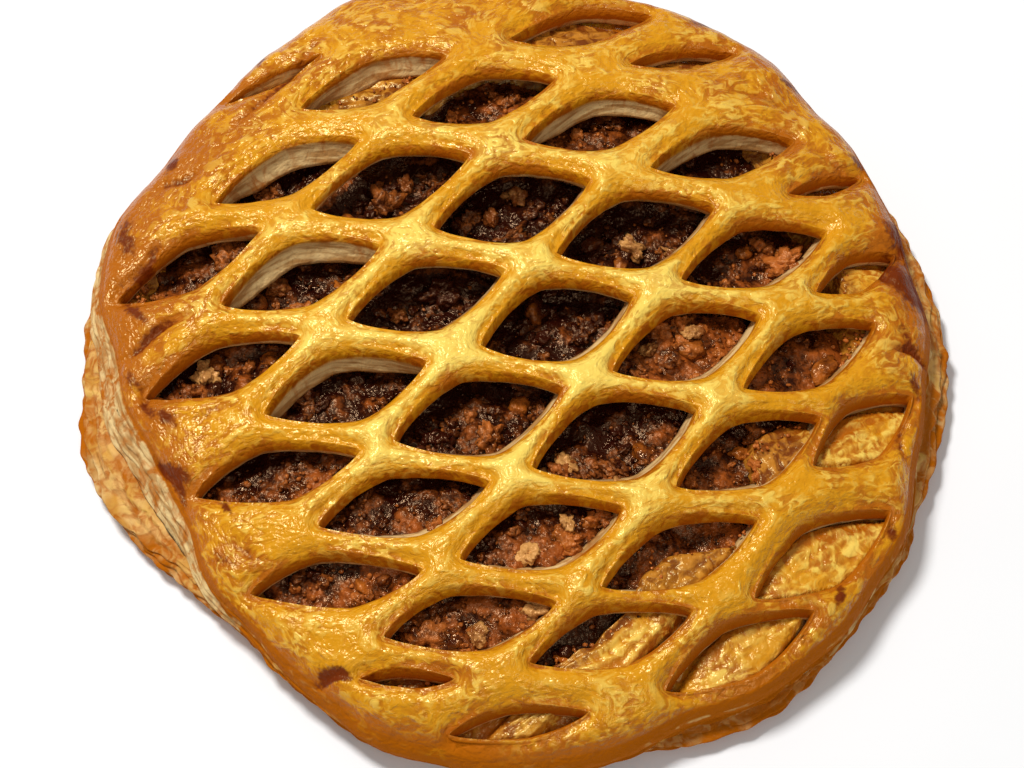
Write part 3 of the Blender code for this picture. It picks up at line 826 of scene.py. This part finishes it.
def make_lid(cuts, material):
    """The lattice sheet, its crowns, rounded shoulders and rough inner sides."""
    shell = Shell()
    sides = [lid_side()] + [strand_side(cut, cuts) for cut in cuts]
    first_loops = [rows[0][0] for rows in sides]
    top, top_faces = triangulate(first_loops, sheet_points(first_loops))
    hole_edges = np.vstack([opening_loop(cut, EDGE_STEPS_OPENING) for cut in cuts])
    edges = np.vstack([border_loop(EDGE_STEPS_BORDER), hole_edges])
    _, angle = polar(*top.T)
    bare = blended(*top.T, cuts, BARE, BARE_USUAL)
    share = rounded(nearest_distance(top, hole_edges), bare)
    to_border = lid_radius(angle) - np.hypot(*top.T)
    shoulder, most = border_shape(angle)
    border_share = most * rounding(to_border / shoulder)
    share = share + border_share * (1.0 - share)
    numbers = shell.add(np.column_stack([top, sheet_height(top, share)]))
    shares = [share]
    on_border = [np.zeros(len(top))]
    shell.faces.append(top_faces)
    starts = np.cumsum([0] + [len(loop) for loop in first_loops])
    feet = []
    for index, rows in enumerate(sides):
        upper = numbers[starts[index]:starts[index + 1]]
        for loop, share in rows[1:]:
            points = np.column_stack([loop, sheet_height(loop, share)])
            if index:
                rough = unevenness(points * (0.4, 0.4, 1.6), 1.5 * MM, 9) * 0.3 * MM
                rough = rough * smooth(share, 0.4, 0.8)
                outward = loop - cuts[index - 1]["middle"]
                points[:, :2] += outward / np.hypot(*outward.T)[:, None] * rough[:, None]
            lower = shell.add(points)
            shares.append(share)
            on_border.append(np.full(len(loop), float(index == 0)))
            faced = (upper, lower) if index else (lower, upper)
            shell.bridge(*faced)
            upper = lower
        feet.append(upper)
    foot_points = [shell.points()[foot][:, :2] for foot in feet]
    _, foot_faces = triangulate(foot_points, np.empty((0, 2)))
    shell.faces.append(np.concatenate(feet)[foot_faces][:, ::-1])
    points = shell.points()
    attributes = lid_attributes(points, np.concatenate(shares), np.concatenate(on_border), edges, cuts)
    shell.make_piece("lid_crust", material, attributes, "lattice_lid")


def lid_attributes(points, share, on_border, edges, cuts):
    """How the lid's glaze, browning and bare sides are spread over its points."""
    x, y, _ = points.T
    _, angle = polar(x, y)
    spread = lid_share(x, y)
    apart = nearest_distance(points[:, :2], edges)
    clouds = unevenness(flat(x, y), 17 * MM, 21) + 0.5 * unevenness(flat(x, y), 6 * MM, 22)
    bare = blended(x, y, cuts, BARE, BARE_USUAL)
    start = 0.66 - 0.48 * cut_bare(angle) + 3.0 * hanging(angle)
    start = np.where(on_border > 0, start, 0.66 - 0.36 * bare)
    glaze = 1.0 - smooth(share + 0.05 * clouds, start, start + 0.1)
    flakes = unevenness(points * (0.22, 0.22, 1.4), 1.8 * MM, 23) + 0.6 * unevenness(points, 2.2 * MM, 24)
    bared = smooth(flakes, 0.0, 0.5) * smooth(share * on_border, 0.3, 0.55) * (1.0 - hanging(angle))
    glaze = glaze * (1.0 - 0.75 * bared)
    flank = smooth(share, 0.06, 0.4)
    creases = crease_depth(x, y, 1.3) / (1.5 * MM)
    brown = 0.42 * smooth(spread, 0.62, 1.0) + 0.8 * flank + 0.25 * clouds + 0.7 * creases
    brown = brown + 0.5 * smooth(-x / MM, 42.0, 88.0) + 0.22 * smooth(y / MM, 15.0, 70.0) - 0.1
    brown = brown + 0.15 * smooth(x / MM, 40.0, 85.0)
    brown = brown + (0.2 + 0.35 * bump(angle, 318, 50)) * smooth(share * on_border, 0.1, 0.5)
    scorched = bump(angle, 11, 11) * smooth(spread, 0.86, 0.97)
    scorched = scorched + 0.4 * bump(angle, 168, 16) * smooth(spread, 0.84, 0.96)
    brown = brown + 0.9 * scorched - 0.35 * hanging(angle) * on_border
    brown = (brown - 0.35 * bared) * (0.35 + 0.65 * glaze)
    middle = 1.0 - smooth(spread, 0.3, 0.85)
    crowns = 1.0 - smooth(share, 0.05, 0.3)
    pale_band = np.exp(-(((y / MM + 28.0 - 0.12 * x / MM) / 34.0) ** 2))
    wide = crowns * (0.25 + 0.75 * smooth(apart, 1.2 * MM, 3.8 * MM))
    wide = wide * (0.1 + (0.5 + 0.5 * pale_band) * middle)
    burn = spots(points) + 0.9 * np.clip(creases, 0, 1.2) * smooth(spread, 0.6, 0.85) + 0.55 * scorched
    gloss = glaze * (1.0 - 0.85 * smooth(share, 0.15, 0.5)) * (1.0 - 0.6 * np.clip(burn, 0, 1))
    return {
        "glaze": np.clip(glaze, 0, 1),
        "brown": np.clip(brown, 0, 1.3),
        "wide": wide,
        "burn": burn,
        "syrup": 0.4 * smooth(share, 0.8, 1.0) * (on_border < 0.5),
        "gloss": gloss * (1.0 - 0.85 * on_border * smooth(share, 0.03, 0.15)),
        "along": 1.3 * apart,
    }


# Dark spots near the border: angle, share of the radius, and half widths along and across in millimetres
SPOTS = (
    (196, 0.93, 4, 2.0), (188, 0.97, 3, 1.5), (176, 0.92, 5, 2.2), (164, 0.95, 5, 2), (206, 0.96, 4, 1.8),
    (8, 0.97, 7, 3.2), (16, 0.99, 5, 2.4), (352, 0.97, 3, 1.6), (222, 0.95, 4, 1.6), (245, 0.95, 4, 1.4),
    (150, 0.96, 4, 2.0), (30, 0.98, 4, 1.8), (318, 0.95, 4, 1.8), (128, 0.98, 4, 1.6), (62, 0.98, 5, 2),
    (172, 0.82, 3, 1.6), (215, 0.9, 3, 1.2), (0, 0.93, 3, 1.5), (46, 0.97, 3, 1.6), (330, 0.97, 3, 1.4),
)


def spots(points):
    radius, angle = polar(points[:, 0], points[:, 1])
    spread = radius / lid_radius(angle)
    dark = np.zeros(len(points))
    ragged = unevenness(points, 2.6 * MM, 31)
    for middle, share, along, aside in SPOTS:
        turn = np.radians((angle - middle + 180.0) % 360.0 - 180.0) * radius / (along * MM)
        out = (spread - share) * LID_RADIUS / (aside * MM) + 0.8 * turn
        falling = np.exp(-(turn**2 + out**2))
        dark = np.maximum(dark, falling * (0.9 + 0.7 * ragged))
    return dark


# Base crust


def resting_height(x, y):
    return underside(x, y) - GAP


def flange_height(angle):
    return FLANGE_HEIGHT + 1.2 * MM * bump(angle, 190, 30) - 2.5 * MM * bump(angle, 280, 50)


def opening_depth(x, y, cuts):
    """How far plan points are inside the openings, in metres, and how near the lower side, 0 to 1."""
    depth, lower = 0.0 * x, 0.0 * x
    for cut in cuts:
        away_x, away_y = x - cut["middle"][0], y - cut["middle"][1]
        aside = away_x * cut["short_way"][0] + away_y * cut["short_way"][1]
        along = away_x * cut["long_way"][0] + away_y * cut["long_way"][1]
        room = 1.0 - np.clip(np.abs(along) / (cut["half_length"] + 1.0 * MM), 0.0, 1.0) ** OPENING_POINT
        edge = (cut["half_width"] + 1.0 * MM) * room**OPENING_TIP
        inside = edge - np.abs(aside)
        better = inside > depth
        depth = np.where(better, inside, depth)
        lower = np.where(better, 0.5 - 0.5 * aside / np.maximum(edge, 0.5 * MM), lower)
    return depth, lower


def make_base(cuts, material):
    """The dish, its flange and its torn, layered side."""
    shell = Shell()
    angle = angles(BASE_STEPS)
    rings = []
    lip = dish_radius(angle) + LIP_RAGGED * unevenness(ring(0.08, angle, 0.0), 5 * MM, 42)
    back = bump(angle, BACK_MIDDLE, BACK_HALF_WIDTH)
    outer = base_radius(angle) + BACK_REACH * back
    edge_radius = outer - 3.0 * MM
    covered = outer - 5.0 * MM + 1.5 * MM * back
    covered = np.minimum(lid_radius(angle) + 0.6 * cut_slant(angle), covered)
    for share in (0.4, 0.8):
        rings.append(ring((lip - DISH_SLOPE) * share, angle, FLOOR_THICKNESS))
    for step in np.linspace(0.0, 1.0, 9)[:-1]:
        radius = lip - DISH_SLOPE * (1.0 - step)
        top = resting_height(*around(lip, angle).T) - 0.4 * MM
        rings.append(ring(radius, angle, FLOOR_THICKNESS + (top - FLOOR_THICKNESS) * step**0.8))
    for step in np.linspace(0.0, 1.0, 34):
        row = ring(lip + (covered - lip) * step, angle, 0.0)
        row[:, 2] = floor_height(row, cuts)
        rings.append(row)
    highest = resting_height(*around(edge_radius, angle).T) - 0.5 * MM
    edge_height = np.minimum(flange_height(angle), highest)
    last = rings[-1]
    for step in np.linspace(0.0, 1.0, 23)[1:]:
        radius = covered + (edge_radius - covered) * step
        height = last[:, 2] + (edge_height - last[:, 2]) * step
        row = ring(radius, angle, height)
        width = edge_radius - covered
        wide = smooth(width, 2.0 * MM, 5.0 * MM) * np.sin(np.pi * min(step * 1.2, 1.0) * 0.5)
        for number, terrace in enumerate(TERRACES):
            ragged = np.array([noise.noise(Vector((a * 0.16, number * 5.1, 2.0))) for a in angle])
            torn = np.array([noise.noise(Vector((a * 0.7, number * 3.7, 6.0))) for a in angle])
            place = covered + width * terrace + MM * (2.0 * ragged + 0.8 * torn)
            lift = smooth(place - radius, -0.25 * MM, 0.25 * MM) - (1.0 - terrace)
            row[:, 2] += TERRACE_HEIGHT * lift * wide
        row[:, 2] += 0.35 * MM * unevenness(row, 4 * MM, 43) * smooth(step, 0.1, 0.4)
        row[:, 2] = np.minimum(row[:, 2], resting_height(*row.T[:2]) - 0.1 * MM)
        rings.append(row)
    edge_height = rings[-1][:, 2]
    for level in np.linspace(0.0, 1.0, 44)[1:]:
        swell = 3.2 * MM * math.sin(math.pi * level) ** 0.6 - 4.2 * MM * hanging(angle)
        fade = smooth(level, 0.0, 0.06) * (1.0 - smooth(level, 0.93, 1.0))
        out = swell + torn_layers(angle, level, 5.5, 1.25, 71)
        radius = outer - 3.0 * MM + out * fade - FOOT_INSET * level**3
        rings.append(ring(radius, angle, edge_height * (1.0 - level)))
    rings.append(ring(outer * 0.7, angle, 0.0))
    rows = [shell.add(points) for points in rings]
    for upper, lower in zip(rows, rows[1:]):
        shell.bridge(lower, upper)
    hubs = (shell.add([rings[0].mean(0)]), shell.add([rings[-1].mean(0)]))
    following = np.roll(np.arange(BASE_STEPS), -1)
    middle = np.zeros(BASE_STEPS, int)
    shell.faces.append(np.column_stack([rows[0], rows[0][following], hubs[0][middle]]))
    shell.faces.append(np.column_stack([rows[-1][following], rows[-1], hubs[1][middle]]))
    attributes = base_attributes(shell.points(), cuts)
    shell.make_piece("base_pastry_shell", material, attributes, "base_crust")


def floor_height(row, cuts):
    """Height of the flange's top under the lid. It rises in puffed, creased swells into the openings."""
    x, y, _ = row.T
    depth, lower = opening_depth(x, y, cuts)
    rise = blended(x, y, cuts, FLOOR_RISE) * MM
    swell = rise * smooth(depth, 0.0, 0.8 * MM) * (0.55 + 0.45 * smooth(lower, 0.0, 0.95))
    rough = 0.30 * ripples(x, y, lower) + 0.30 * unevenness(flat(x, y), 3.5 * MM, 45)
    return resting_height(x, y) - 0.35 * MM + swell + rough * MM * smooth(depth, 0.3 * MM, 2.0 * MM)


def ripples(x, y, lower):
    """Fine folds, -1 to 1, along the openings' long sides."""
    warp = 1.1 * unevenness(flat(x, y), 13 * MM, 44) + 0.15 * unevenness(flat(x, y), 4 * MM, 49)
    return np.sin(2 * np.pi * (lower * 5.0 + warp))


def base_attributes(points, cuts):
    """How the base's glaze, browning, painted shade and syrup are spread over its points."""
    x, y, z = points.T
    radius, angle = polar(x, y)
    depth, lower = opening_depth(x, y, cuts)
    shown = smooth(radius - lid_radius(angle) - 0.5 * cut_slant(angle), -1.5 * MM, 1.0 * MM)
    clouds = unevenness(points, 9 * MM, 46) + 0.5 * unevenness(points, 3.5 * MM, 47)
    soaked = blended(x, y, cuts, SYRUP) * smooth(depth, 0.0, 1.0 * MM)
    near_filling = 1.0 - smooth(radius - dish_radius(angle) + 3.0 * MM * clouds, 0.0, 4.0 * MM)
    upper = smooth(z / flange_height(angle), 0.45, 0.9)
    side = 0.62 + 0.35 * clouds + 0.4 * (1.0 - upper)
    low_front = bump(angle, 300, 45)
    folds = ripples(x, y, lower) * smooth(depth, 0.3 * MM, 2.0 * MM)
    syrup = np.maximum(soaked * (1.3 + 0.5 * clouds), near_filling * 0.95)
    # Painted shade: the floor in each opening is browner towards its back-left side, in the shadow of the
    # strand there, and browner in the folds' hollows
    floor_brown_and_shade = 0.95 - 0.7 * smooth(lower, 0.05, 0.65) + 0.3 * clouds - 0.14 * folds
    return {
        "glaze": np.where(shown > 0.5, 0.15 + 0.4 * smooth(upper + 0.3 * clouds, 0.3, 0.8), 0.97),
        "brown": np.clip(np.where(shown > 0.5, side + 0.45 * low_front, floor_brown_and_shade), 0, 1.3),
        # Paler on the folds' crests: painted highlight
        "wide": np.where(shown > 0.5, 0.1, np.clip(0.34 + 0.4 * clouds + 0.12 * folds, 0, 1)),
        "burn": (0.35 * low_front + 0.45 * smooth(unevenness(points, 6 * MM, 48), 0.3, 0.7)) * shown,
        "syrup": np.clip(syrup, 0, 1) * (1 - shown),
        "gloss": np.where(shown > 0.5, 0.1 + 0.25 * smooth(upper, 0.8, 1.0), 0.85),
        "along": 0.4 * z,
    }


# Filling


def filling_height(x, y, cuts):
    """Height of the filling's surface under the lid, without its granules."""
    share = np.clip(y / (60.0 * MM) + 0.9, 0.0, 1.0)
    sag = SAG_FRONT + (SAG_MIDDLE - SAG_FRONT) * share
    heaped = blended(x, y, cuts, HEAPED)
    points = flat(x, y)
    relief = 1.4 * (unevenness(points, 9 * MM, 4) - 0.4) + 1.1 * unevenness(points, 4.2 * MM, 51)
    return underside(x, y) - GAP - sag + (relief + heaped) * MM


def granules(x, y):
    """Relief of sticky crumbs of three sizes, in metres."""
    height = 0.0 * x
    for size, rise, seed in ((3.6 * MM, 1.5, 1), (1.7 * MM, 0.75, 2), (0.9 * MM, 0.4, 3)):
        for index, (px, py) in enumerate(zip(x, y)):
            near = noise.voronoi((px / size, py / size, seed * 9.7))[0][0]
            height[index] += rise * MM * max(0.0, 0.62 - near)
    return height


def make_filling_core(cuts, material):
    """The body of the filling that fills the dish."""
    shell = Shell()
    angle = angles(CORE_STEPS)
    rim = dish_radius(angle) - 3.0 * MM
    rows = []
    for reach in np.linspace(0.01, 1.0, 50):
        row = ring(rim * reach, angle, 0.0)
        row[:, 2] = filling_height(*row[:, :2].T, cuts) - 0.5 * MM - 1.5 * MM * smooth(reach, 0.93, 1.0)
        rows.append(shell.add(row))
    foot = dish_radius(angle) - DISH_SLOPE - 2.0 * MM
    rows.append(shell.add(ring(foot, angle, FLOOR_THICKNESS + GAP)))
    rows.append(shell.add(ring(foot * 0.3, angle, FLOOR_THICKNESS + GAP)))
    for upper, lower in zip(rows, rows[1:]):
        shell.bridge(lower, upper)
    shell.faces.append(rows[0][None])
    shell.faces.append(rows[-1][None, ::-1])
    attributes = {"tint": 0.15 + 0.2 * unevenness(shell.points(), 5 * MM, 53)}
    shell.make_piece("filling_core", material, attributes, "filling")


def make_bed(cuts, material):
    """The granular top of the filling where it shows in the openings."""
    shell = Shell()
    tint = []
    for cut in cuts:
        half_long, half_short = cut["half_length"] + 2.5 * MM, cut["half_width"] + 3.5 * MM
        columns = int(2 * half_long / BED_SPACING)
        lines = int(2 * half_short / BED_SPACING)
        steps = np.linspace(-half_long, half_long, columns), np.linspace(-half_short, half_short, lines)
        u, v = (way.ravel() for way in np.meshgrid(*steps))
        x, y = (cut["middle"][k] + u * cut["long_way"][k] + v * cut["short_way"][k] for k in (0, 1))
        radius, angle = polar(x, y)
        inside = (np.abs(u) / half_long) ** 1.6 + np.abs(v) / half_short < 1.08
        inside &= radius < dish_radius(angle) - 1.0 * MM
        if not inside.any():
            continue
        relief = granules(x, y)
        height = filling_height(x, y, cuts) + relief
        number = np.arange(len(x)).reshape(lines, columns)
        corners = [number[:-1, :-1], number[:-1, 1:], number[1:, 1:], number[1:, :-1]]
        quads = np.stack(corners, -1).reshape(-1, 4)
        quads = quads[inside[quads].all(1)]
        used, renumbered = np.unique(quads, return_inverse=True)
        numbers = shell.add(np.column_stack([x, y, height])[used])
        shell.faces.append(numbers[renumbered.reshape(quads.shape)])
        lumps = unevenness(flat(x, y), 4.2 * MM, 51)
        # Painted shade: the filling is darker towards the back-left side of each opening, under the
        # strand that shades it, lighter towards its right end, and darker in the deep middle openings
        shade_and_amber = 0.3 * (-v / half_short) + 0.1 * u / half_long + 0.6 * AMBER_AND_SHADE.get(cut["place"], 0.0)
        tint.append((0.08 + shade_and_amber + 0.2 * relief / MM + 0.35 * lumps)[used])
    shell.make_piece("filling_bed", material, {"tint": np.concatenate(tint)})


def rough_ball(detail):
    """Vertices and faces of a unit ball to be made into crumbs."""
    edit = bmesh.new()
    bmesh.ops.create_icosphere(edit, subdivisions=detail, radius=1.0)
    vertices = np.array([tuple(v.co) for v in edit.verts])
    faces = np.array([[v.index for v in f.verts] for f in edit.faces])
    edit.free()
    return vertices, faces


def scatter(name, material, cuts, rng, kind):
    """Rough pieces strewn over the filling under the openings, as one mesh."""
    ball, ball_faces = rough_ball(kind["detail"])
    weights = np.array([cut["half_length"] * cut["half_width"] for cut in cuts])
    chosen = rng.choice(len(cuts), size=kind["count"], p=weights / weights.sum())
    least, most = (size * MM for size in kind["sizes"])
    shell = Shell()
    tint = []
    for index in chosen:
        cut = cuts[index]
        u, v = rng.uniform(-1.0, 1.0, 2)
        v = v * (1.0 - abs(u) ** 1.4)
        size = least + (most - least) * rng.random() ** 2.0
        spot = cut["middle"] + cut["long_way"] * u * (cut["half_length"] + 1.0 * MM)
        spot = spot + cut["short_way"] * v * (cut["half_width"] + 1.5 * MM)
        radius, angle = polar(*spot)
        if radius > dish_radius(angle) + kind["past_lip"] * MM - size:
            continue
        axes = np.array([1.0, rng.uniform(0.6, 1.0), rng.uniform(*kind["squash"])])
        offset = Vector(rng.uniform(-50, 50, 3))
        swell = np.array([noise.noise(Vector(p) * 1.3 + offset) for p in ball])
        knobs = np.array([0.6 - noise.voronoi(Vector(p) * 2.4 + offset)[0][0] for p in ball])
        fine = np.array([noise.noise(Vector(p) * 5.5 + offset) for p in ball])
        swollen = 1.0 + kind["rough"] * (swell + 0.6 * knobs + 0.35 * fine)
        body = ball * swollen[:, None] * axes * size
        turn = Matrix.Rotation(rng.uniform(0, 6.28), 3, "Z")
        turn = turn @ Matrix.Rotation(rng.uniform(-0.7, 0.7), 3, "X")
        body = body @ np.array(turn).T
        ground = filling_height(spot[:1], spot[1:], cuts)[0]
        if radius > dish_radius(angle) - 2.0 * MM:
            ground = floor_height(np.array([[*spot, 0.0]]), cuts)[0] - 0.3 * size
        ceiling = underside(*spot) + kind["poke"] * MM
        height = min(ground + kind["lift"] * size + 0.3 * MM, ceiling - body[:, 2].max())
        numbers = shell.add(body + (*spot, height))
        shell.faces.append(numbers[ball_faces])
        # Painted shade: pieces are darker towards the back-left side of each opening, under the strand
        # that shades it, and in the deep middle openings. They are also lighter where they lie past the
        # dish's lip.
        shade_and_amber = -0.25 * v + 0.5 * AMBER_AND_SHADE.get(cut["place"], 0.0) - 0.12
        shade_and_amber = shade_and_amber + 0.5 * (radius > dish_radius(angle) - 2.0 * MM)
        tint.append(rng.uniform(*kind["tints"]) + shade_and_amber + 0.35 * kind["rough"] * knobs)
    shell.make_piece(name, material, {"tint": np.concatenate(tint)})


# Loose pieces: the material of each, how many, how large in millimetres, how finely made, how flat, how
# rough, how high they lie (in their own sizes), how light, and in millimetres how far they may rise over
# the lid's underside and how far past the dish's lip they lie
FIELDS = ("count", "sizes", "detail", "squash", "rough", "lift", "tints", "poke", "past_lip")
PIECES = {
    "crumble_lumps": ("crumb", 100, (2.0, 4.8), 4, (0.45, 0.75), 1.1, 0.1, (0.0, 0.6), 2.0, -2.5),
    "crumble_crumbs": ("crumb", 420, (0.9, 2.1), 3, (0.5, 0.8), 0.9, 0.25, (0.0, 0.7), 2.0, 2.5),
    "crumble_grains": ("crumb", 2600, (0.3, 0.75), 1, (0.5, 0.9), 0.45, 0.7, (0.0, 0.8), 2.0, 4.0),
    "walnut_pieces": ("walnut", 34, (1.8, 3.4), 4, (0.4, 0.7), 0.8, 0.4, (0.1, 0.9), 2.0, -2.5),
    "apple_chunks": ("apple", 60, (2.0, 4.0), 3, (0.45, 0.7), 0.5, 0.1, (0.0, 0.8), 1.0, 1.5),
}


# Studio

FLOOR_REACH = 4.0
SKY = (1.0, 0.99, 0.97, 1.0)
SKY_STRENGTH = 0.28
# Round soft lights that look at the pie: place and diameter in metres, and power in watts
LIGHTS = {
    "key_softbox": ((-0.34, 0.26, 1.0), 0.26, 10.8),
    "front_fill": ((0.20, -0.60, 0.90), 0.4, 1.7),
}


def add_studio():
    floor_mesh = bpy.data.meshes.new("studio_floor")
    corners = [(x * FLOOR_REACH, y * FLOOR_REACH, 0.0) for x, y in ((-1, -1), (1, -1), (1, 1), (-1, 1))]
    floor_mesh.from_pydata(corners, [], [(0, 1, 2, 3)])
    floor_mesh.materials.append(floor_paint())
    floor = in_scene("studio_floor", floor_mesh)

    world = bpy.data.worlds.new("studio")
    world.use_nodes = True
    background = world.node_tree.nodes["Background"]
    background.inputs["Color"].default_value = SKY
    background.inputs["Strength"].default_value = SKY_STRENGTH
    bpy.context.scene.world = world

    for name, (place, size, power) in LIGHTS.items():
        add_light(name, place, size, power)


def add_light(name, place, size, power):
    data = bpy.data.lights.new(name, "AREA")
    data.shape = "DISK"
    data.size = size
    data.energy = power
    light = in_scene(name, data)
    light.location = place
    light.rotation_euler = (-Vector(place)).to_track_quat("-Z", "Y").to_euler()


# Camera: it looks along +Y and down on the pie, from the photograph's side
CAMERA_ELEVATION = 60.8
CAMERA_DISTANCE = 555.5 * MM
CAMERA_TARGET = (0.24 * MM, -10.7 * MM, 12.0 * MM)
CAMERA_LENS = 86.5


def add_camera():
    data = bpy.data.cameras.new("camera")
    data.lens = CAMERA_LENS
    camera = in_scene("camera", data)
    slope = math.radians(CAMERA_ELEVATION)
    back = Vector((0.0, -math.cos(slope), math.sin(slope))) * CAMERA_DISTANCE
    camera.location = Vector(CAMERA_TARGET) + back
    camera.rotation_euler = (-back).to_track_quat("-Z", "Y").to_euler()
    bpy.context.scene.camera = camera


def main():
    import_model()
    rng = np.random.default_rng(SEED)
    bpy.context.scene.view_settings.view_transform = "Standard"
    add_camera()
    add_studio()
    cuts = openings()
    make_lid(cuts, pastry("glazed_pastry"))
    make_base(cuts, pastry("base_pastry"))
    sauce = crumble("filling_sauce", *SAUCE, 0.8 * MM)
    make_filling_core(cuts, sauce)
    make_bed(cuts, sauce)
    paints = {
        "crumb": crumble("filling_crumb", *CRUMB, 0.7 * MM),
        "walnut": crumble("walnut_bits", *WALNUT, 0.8 * MM),
        "apple": crumble("apple_pieces", *APPLE, 1.2 * MM),
    }
    for name, (paint, *values) in PIECES.items():
        scatter(name, paints[paint], cuts, rng, dict(zip(FIELDS, values)))


main()
